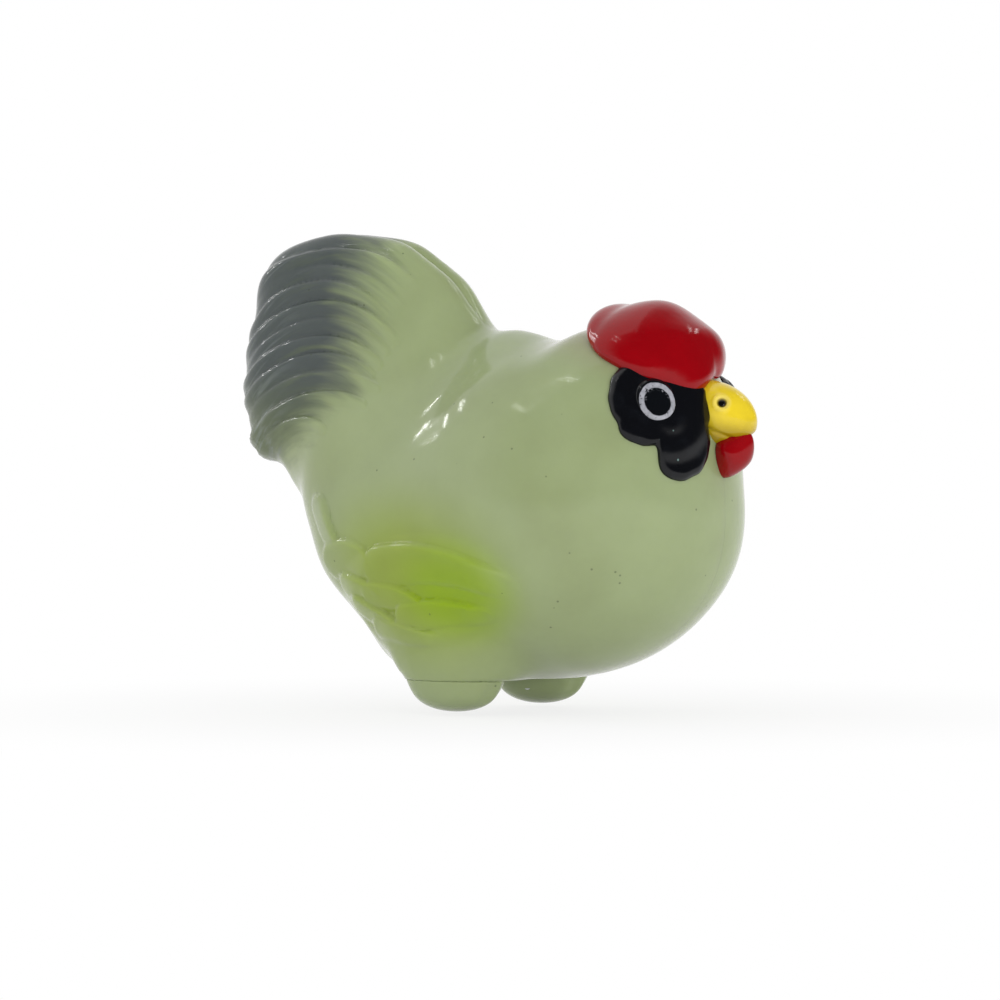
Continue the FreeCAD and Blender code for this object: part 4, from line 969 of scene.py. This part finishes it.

# %% [markdown]
# ## The bird's skin
# The body is cast in a pale grey-green resin that lets a little light in, with a clear gloss.
# Grey was sprayed onto the tail and a yellow-green dab onto each wing, and both fade out softly.
# On the tail, pale streaks near the rim are a painted highlight along the feathers, and olive
# streaks between them are painted shade; a warm tone round the neck under the comb is painted shade.
# The masks are plain formulas of the position, so that both halves and the feet share one finish.

# %% Resin
RESIN, RESIN_DEEP = srgb(158, 171, 127), srgb(140, 150, 104)
# the pale third tail colour is a painted highlight on the feathers; the olive second one also paints
# shade between them
TAIL_GREY, TAIL_OLIVE_AND_SHADE, TAIL_PAINTED_HIGHLIGHT = srgb(78, 85, 84), srgb(100, 111, 80), srgb(138, 147, 142)
WING_GREEN, WING_WIDE = srgb(144, 174, 0), srgb(147, 166, 48)
# a warm painted shade round the neck under the comb, and its middle
NECK_PAINTED_SHADE, NECK_SHADE_PLACE = srgb(150, 142, 112), (18.0, 0.0, 40.0)
RESIN_DUST = srgb(60, 70, 45)
# each oval: middle (x, z), half length, half height
WING_SPRAY, WING_DAB = ((-3.0, 16.0), 20.0, 14.0), ((3.9, 15.1), 11.0, 8.0)


def oval(x, z, middle, half_long, half_tall):
    """Distance from the middle of an oval in the side view: 1 on its edge."""
    across = calc("DIVIDE", calc("SUBTRACT", x, middle[0]), half_long)
    up = calc("DIVIDE", calc("SUBTRACT", z, middle[1]), half_tall)
    return calc("SQRT", calc("ADD", times(across, across), times(up, up)))


def feather_streaks(x, y, z):
    """Noise drawn out along curves z + 0.045 (x + 20)^2, which follow the tail feathers."""
    bend = calc("ADD", x, 20.0)
    level = calc("MULTIPLY_ADD", times(bend, bend), 0.045, z)
    return noise(stretched(joined(x, y, level), (0.09, 0.3, 0.85)), 1.0, 3.0)


def tail_mask(streaks, x, z):
    """Grey grows behind a line that leans back below the middle of the tail, and runs out in
    streaks along the feathers."""
    low = calc("MAXIMUM", calc("SUBTRACT", 39.0, z), 0.0)
    behind = calc("MULTIPLY_ADD", low, -1.2, calc("SUBTRACT", -10.5, x))
    return ramp(calc("MULTIPLY_ADD", calc("SUBTRACT", streaks, 0.5), 9.0, behind), 0.0, 10.5)


def make_resin():
    """Resin, then the wing's two sprays, the tail's greys with a painted highlight and painted shade
    along the feathers, and a warm painted shade round the neck under the comb.
    """
    material, surface, place = new_finish("body_resin", {
        "Roughness": 0.11, "IOR": 1.36, "Subsurface Weight": 0.25,
        "Subsurface Radius": (1.0, 1.1, 0.55), "Subsurface Scale": 1.6 * MM})
    x, y, z = axes_of(place)
    colour = blend(ramp(noise(place, 0.09, 1.0), 0.35, 0.75), RESIN, RESIN_DEEP, 0.35)
    side = ramp(y, 4.0, 9.0)
    colour = blend(times(ramp(oval(x, z, *WING_SPRAY), 1.0, 0.15), side), colour, WING_WIDE, 0.85)
    colour = blend(times(ramp(oval(x, z, *WING_DAB), 1.0, 0.15), side), colour, WING_GREEN)
    streaks = feather_streaks(x, y, z)
    shade = blend(ramp(z, 31.0, 42.0), TAIL_OLIVE_AND_SHADE, TAIL_GREY)
    # pale streaks near the rim are a painted highlight along the feathers, olive streaks between them
    # are painted shade
    pale = times(ramp(streaks, 0.5, 0.72), ramp(x, -22.0, -31.0))
    shade = blend(pale, shade, TAIL_PAINTED_HIGHLIGHT, 0.55)
    painted_shade = times(ramp(streaks, 0.5, 0.3), ramp(x, -29.0, -20.0))
    shade = blend(painted_shade, shade, TAIL_OLIVE_AND_SHADE, 0.6)
    colour = blend(tail_mask(streaks, x, z), colour, shade)
    # a darker, warmer tone round the neck under the comb is painted shade
    colour = blend(ramp(distance_to(place, NECK_SHADE_PLACE), 13.0, 8.5), colour, NECK_PAINTED_SHADE, 0.5)
    colour = dusty(drifting(colour, place, 0.22, 0.12), place, 0.05, RESIN_DUST, 0.5)
    top_coat(surface, place, colour, 0.03, 0.0035)
    return material


resin = make_resin()
print(resin.name, "has", len(resin.node_tree.nodes), "nodes")

# %% [markdown]
# ## Enamels of the face
# Comb, wattle, beak and cheeks are thick glossy enamel, put on by hand. The red is a little
# lighter where the coat is thin, the beak gets painted shade towards its mouth, the pale rim
# round each nostril is a painted highlight, and the ring round each eye is one quick brush
# stroke in off-white that skips in places.

# %% Red, yellow and black enamel
RED, RED_THIN = srgb(148, 2, 12), srgb(154, 20, 26)
# the second yellow is painted shade low on the beak
YELLOW, BEAK_PAINTED_SHADE, REAR_OCHRE = srgb(240, 211, 44), srgb(164, 136, 8), srgb(206, 172, 40)
# the pale rim colour is a painted highlight round each nostril
NOSTRIL_PAINTED_HIGHLIGHT, PIT_BLACK = srgb(252, 238, 150), srgb(12, 12, 12)
BLACK, BLACK_THIN, BLACK_DUST = srgb(12, 13, 17), srgb(28, 32, 38), srgb(120, 150, 145)
EYE_BLACK, BRUSH_THIN, BRUSH_THICK = srgb(12, 14, 18), srgb(120, 122, 130), srgb(198, 198, 206)


def enamel_coat(surface, place, colour, waves):
    """The shared last part of each enamel."""
    top_coat(surface, place, drifting(colour, place, 0.3, 0.25), waves, 0.001)


def make_red():
    """Red, lighter where noise says that the coat is thin."""
    material, surface, place = new_finish("red_enamel", {"Roughness": 0.12, "IOR": 1.34})
    colour = blend(ramp(noise(place, 0.22, 3.0), 0.45, 0.8), RED, RED_THIN, 0.5)
    enamel_coat(surface, place, colour, 0.05)
    return material


def make_yellow():
    """Yellow with painted shade low down and browner at the root, a painted highlight on the rim
    round each nostril, and a black pit in it.
    """
    material, surface, place = new_finish("yellow_enamel", {"Roughness": 0.14, "IOR": 1.48})
    x, y, z = axes_of(place)
    # darker, browner yellow low on the beak is painted shade
    colour = blend(ramp(z, 35.6, 32.6), YELLOW, BEAK_PAINTED_SHADE, 0.9)
    colour = blend(ramp(x, 29.0, 26.5), colour, REAR_OCHRE, 0.4)
    away = distance_to(joined(x, y, z), NOSTRIL)
    # the pale ring round each nostril is a painted highlight
    colour = blend(times(ramp(away, 0.5, 0.7), ramp(away, 1.3, 0.8)), colour, NOSTRIL_PAINTED_HIGHLIGHT, 0.35)
    colour = blend(ramp(away, NOSTRIL_RADIUS + 0.08, NOSTRIL_RADIUS - 0.1), colour, PIT_BLACK)
    enamel_coat(surface, place, colour, 0.03)
    return material


def make_black():
    """Black with greyer thin places, and pale dust on its sticky gloss."""
    material, surface, place = new_finish("black_enamel", {"Roughness": 0.2, "IOR": 1.38})
    colour = blend(ramp(noise(place, 0.35, 4.0), 0.5, 0.85), BLACK, BLACK_THIN, 0.6)
    enamel_coat(surface, place, dusty(colour, place, 0.09, BLACK_DUST, 0.8), 0.06)
    return material


def brushed_ring(place, radius, upper):
    """1 on the off-white ring, which skips, and 0.6 on the wisps of a second stroke inside it."""
    outer = ramp(radius, RING_RADIUS + RING_HALF + 0.06, RING_RADIUS + RING_HALF - 0.04)
    inner = ramp(radius, RING_RADIUS - RING_HALF - 0.05, RING_RADIUS - RING_HALF + 0.08)
    ring = times(times(outer, inner), ramp(noise(place, 2.6, 5.0), 0.30, 0.42))
    second = times(ramp(radius, 1.62, 1.56), ramp(radius, 1.28, 1.36))
    wisps = times(times(second, upper), ramp(noise(place, 3.4, 4.0), 0.52, 0.60))
    return calc("MAXIMUM", ring, times(wisps, 0.6))


def make_eye():
    """Black with a pale ring round the eye's own axis, broken by brush streaks."""
    material, surface, place = new_finish("eye_enamel", {"Roughness": 0.12, "IOR": 1.48})
    x, y, z = axes_of(place)
    out = tuple(plane_axes(EYE_TURN)[1] * [1, -1, 1])
    offset = fed("VectorMath", {0: joined(x, y, z), 1: EYE}, operation="SUBTRACT")[0]
    away = fed("VectorMath", {0: offset, 1: out}, operation="CROSS_PRODUCT")[0]
    radius = fed("VectorMath", {0: away}, operation="LENGTH")["Value"]
    ragged = times(calc("SUBTRACT", noise(place, 1.6, 4.0), 0.5), 0.22)
    white = brushed_ring(place, calc("ADD", radius, ragged), ramp(z, EYE[2] - 0.2, EYE[2] + 0.9))
    tone = blend(noise(place, 2.0, 4.0), BRUSH_THIN, BRUSH_THICK)
    enamel_coat(surface, place, blend(white, EYE_BLACK, tone), 0.02)
    return material


red, yellow, black, eye_enamel = make_red(), make_yellow(), make_black(), make_eye()
print("enamels:", red.name, yellow.name, black.name, eye_enamel.name)

# %% [markdown]
# ## Metals and the knob's plastic
# Inside are a plain zinc-plated steel frame, blued springs and cut brass wheels. They differ in
# colour and gloss only, so one recipe makes all three. The knob is ivory plastic that has
# yellowed a little in its grooves.

# %% Metals and plastic
IVORY, GRIME = srgb(236, 228, 204), srgb(196, 178, 138)


def make_metal(name, colour, tarnish, roughness):
    """Metal whose colour, roughness and normal all come from the wear group."""
    material, surface, place = new_finish(name, {"Metallic": 1.0})
    worn = use_group(metal_wear, Colour=colour, Tarnish=tarnish, Position=place, Roughness=roughness)
    feed(surface, {"Base Color": worn["Colour"], "Roughness": worn["Roughness"],
                   "Normal": worn["Normal"]})
    return material


def make_knob_plastic():
    """Ivory, with grime in a band near the rim; the distance is measured from the knob's axis."""
    material, surface, place = new_finish("ivory_plastic", {
        "Roughness": 0.28, "Subsurface Weight": 0.1,
        "Subsurface Radius": (1.0, 0.8, 0.5), "Subsurface Scale": 0.8 * MM})
    x, _, z = axes_of(place)
    away = oval(x, z, KNOB_AXIS, KNOB_RADIUS, KNOB_RADIUS)
    colour = blend(times(ramp(away, 0.99, 0.93), ramp(away, 0.6, 0.9)), IVORY, GRIME, 0.4)
    top_coat(surface, place, drifting(colour, place, 0.5, 0.08), 0.01, 0.002)
    return material


FINISHES = {
    "body_paint": resin, "comb_paint": red, "beak_paint": yellow, "patch_paint": black,
    "steel": make_metal("plated_steel", (0.56, 0.57, 0.58, 1), (0.36, 0.37, 0.38, 1), 0.26),
    "spring_steel": make_metal("blued_steel", (0.20, 0.22, 0.28, 1), (0.30, 0.25, 0.18, 1), 0.24),
    "brass": make_metal("cut_brass", (0.78, 0.56, 0.22, 1), (0.46, 0.32, 0.14, 1), 0.24),
    "knob_plastic": make_knob_plastic(),
}


def wear(mesh, material):
    """Give a mesh one material and no other."""
    mesh.materials.clear()
    mesh.materials.append(material)


for part in frame["record"]["subparts"]:
    wear(frame["nodes"][part["node"]].data, FINISHES[part["material_slot"]])

# %% [markdown]
# ## Joining the fine pieces to the imported model
# Each fine surface takes the place of one solid and rides on the same moving body as it does.
# The table also lists the slot of the record that its finish belongs to; the loop doesn't use it.

# %% Rides and swaps
PIECES = (
    # piece, material, body, slot, node it stands for
    (shell_right, resin, "body", "body_paint", "body_shell_right"),
    (shell_left, resin, "body", "body_paint", "body_shell_left"),
    (comb, red, "body", "comb_paint", "comb"),
    (wattle, red, "body", "comb_paint", "wattle"),
    (beak, yellow, "body", "beak_paint", "beak"),
    (cheek_right, black, "body", "patch_paint", "face_patch_right"),
    (cheek_left, black, "body", "patch_paint", "face_patch_left"),
    (eye_right, eye_enamel, "body", "patch_paint", "eye_right"),
    (eye_left, eye_enamel, "body", "patch_paint", "eye_left"),
    (foot_right, resin, "leg_right_body", "body_paint", "foot_right"),
    (foot_left, resin, "leg_left_body", "body_paint", "foot_left"),
    (knob, FINISHES["knob_plastic"], "winding", "knob_plastic", "winding_knob"),
)
for piece, material, body, slot_name, node in PIECES:
    wear(piece.data, material)
    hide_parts(node)
    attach(piece, body)
print("fine pieces:", len(PIECES))

# %% [markdown]
# ## Stage, light and camera
# The bird stands on a pale floor in even white light. The floor and the world are pure white to
# the eye and to mirrors, while the floor still darkens a little under the feet. A dark card that
# only mirrors can see bends round the front like half a globe, so that red and black enamel keep
# their depth. It fades out near the floor and towards its sides, which leaves no edge in the gloss.

# %% Stage
FLOOR_HALF, FLOOR_PALE = 1.5, (0.9, 0.9, 0.9, 1)
CARD_RADIUS, CARD_TURN, CARD_HALF_TURN = 1.0, 75, 120
CARD_ROWS, CARD_COLUMNS, CARD_DARK = 25, 49, (0.03, 0.032, 0.035, 1)
AMBIENT = 0.67


def seen_directly(tree):
    """1 for camera, mirror and glass rays, else 0."""
    rays = add_node(tree, "LightPath").outputs
    total = calc("ADD", rays["Is Camera Ray"], rays["Is Glossy Ray"])
    return calc("MINIMUM", calc("ADD", total, rays["Is Transmission Ray"]), 1.0)


def show_mix(tree, share, first, second):
    """Mix two shaders by a share, and send the result to the output."""
    both = add_node(tree, "MixShader", {0: share, 1: first.outputs[0], 2: second.outputs[0]})
    add_node(tree, "OutputMaterial", {0: both.outputs[0]})


def make_floor_paint():
    """White diffuse, mixed with plain white light for direct rays: wholly so far from the bird."""
    material, tree = new_material("floor_paint")
    away = distance_to(add_node(tree, "TexCoord").outputs["Object"], (0, 0, 0))
    share = calc("MULTIPLY_ADD", ramp(away, 0.02, 0.09), 0.18, 0.82)
    paint = add_node(tree, "BsdfDiffuse", {"Color": FLOOR_PALE})
    glow = add_node(tree, "Emission", {"Strength": 1.0})
    show_mix(tree, times(share, seen_directly(tree)), paint, glow)
    return material


def make_card_paint():
    """Dark grey that fades to nothing towards the floor and behind the bird."""
    material, tree = new_material("card_paint")
    axes = fed("SeparateXYZ", {0: add_node(tree, "TexCoord").outputs["Object"]})
    turn = math.radians(CARD_TURN)
    facing = calc("ADD", times(axes["X"], math.sin(turn)), times(axes["Y"], -math.cos(turn)))
    share = times(ramp(axes["Z"], 0.0, 0.2), ramp(facing, -0.45, 0.1))
    dark = add_node(tree, "Emission", {"Color": CARD_DARK})
    show_mix(tree, share, add_node(tree, "BsdfTransparent"), dark)
    return material


def card_points():
    """Part of a globe round the bird, as a grid of heights and azimuths."""
    rise = np.radians(np.linspace(-10, 89, CARD_ROWS))[:, None]
    turn = np.radians(CARD_TURN + np.linspace(-CARD_HALF_TURN, CARD_HALF_TURN, CARD_COLUMNS))
    globe = [np.cos(rise) * np.sin(turn), -np.cos(rise) * np.cos(turn), np.sin(rise) + 0 * turn]
    return np.stack(globe, -1).reshape(-1, 3) * CARD_RADIUS / MM


corners = np.array([(-1, -1, 0), (1, -1, 0), (1, 1, 0), (-1, 1, 0)]) * FLOOR_HALF / MM
floor = put_mesh("floor", corners, np.array([[0, 1, 2, 3]]))
wear(floor.data, make_floor_paint())
card_quads = ring_quads(CARD_ROWS, CARD_COLUMNS).reshape(CARD_ROWS - 1, CARD_COLUMNS, 4)
card = put_mesh("dark_card", card_points(), card_quads[:, :-1].reshape(-1, 4))
wear(card.data, make_card_paint())
card.visible_camera = card.visible_diffuse = card.visible_shadow = card.visible_transmission = False

world = bpy.data.worlds.new("studio")
bpy.context.scene.world = world
world.use_nodes = True
world.node_tree.nodes.clear()
strength = calc("MULTIPLY_ADD", seen_directly(world.node_tree), 1 - AMBIENT, AMBIENT)
sky = fed("Background", {"Color": (1, 1, 1, 1), "Strength": strength})
add_node(world.node_tree, "OutputWorld", {0: sky[0]})
print("stage: floor and card")

# %% [markdown]
# ## Lamps and camera
# Three broad lamps fill in the form, and mirrors don't see them. Eight narrow strips are small
# and weak, and give the gloss its short bright lines. Lamps and camera are all placed in the same
# way: by azimuth, elevation and distance from the middle of the bird, which they face.

# %% Lamps
AIM = Vector((0, 0, 25.3 * MM))


def place_facing(name, data, azimuth, elevation, away):
    """An object at an azimuth (from -Y towards +X) and an elevation in degrees, facing the bird."""
    a, e = math.radians(azimuth), math.radians(elevation)
    towards = Vector((math.sin(a) * math.cos(e), -math.cos(a) * math.cos(e), math.sin(e)))
    thing = bpy.data.objects.new(name, data)
    thing.location = AIM + towards * away
    thing.rotation_euler = (AIM - thing.location).to_track_quat("-Z", "Y").to_euler()
    bpy.context.scene.collection.objects.link(thing)
    return thing


LAMPS = (
    # name, azimuth, elevations, distance, width, height, power, seen by mirrors
    ("fill_left", -35, (10,), 0.9, 0.7, 0.3, 1.1, False),
    ("fill_right", 62, (2.6,), 0.9, 0.7, 0.08, 3.0, False),
    ("fill_back", 205, (18,), 0.9, 0.7, 0.3, 1.3, False),
    ("side_strip", -95, (38, 30, 25, 20), 0.8, 0.13, 0.008, 0.12, True),
    ("top_strip", -38, (62, 69), 0.8, 0.14, 0.008, 0.07, True),
    ("back_strip", 165, (36, 42), 0.8, 0.16, 0.008, 0.06, True),
)
for name, azimuth, elevations, away, width, height, power, mirrored in LAMPS:
    for number, elevation in enumerate(elevations):
        label = name if len(elevations) == 1 else "%s_%d" % (name, number)
        light = bpy.data.lights.new(label, "AREA")
        light.shape = "RECTANGLE"
        light.size, light.size_y, light.energy = width, height, power
        place_facing(label, light, azimuth, elevation, away).visible_glossy = mirrored

# %% Camera
CAMERA_AZIMUTH, CAMERA_ELEVATION, CAMERA_AWAY = 30, 1, 0.6
VIEW_WIDTH = 0.12

lens = bpy.data.cameras.new("camera")
lens.sensor_width = 36
lens.lens = lens.sensor_width * CAMERA_AWAY / VIEW_WIDTH
bpy.context.scene.camera = place_facing("camera", lens, CAMERA_AZIMUTH, CAMERA_ELEVATION, CAMERA_AWAY)
bpy.context.scene.view_settings.view_transform = "Standard"
print("camera at %.0f mm" % (CAMERA_AWAY / MM))
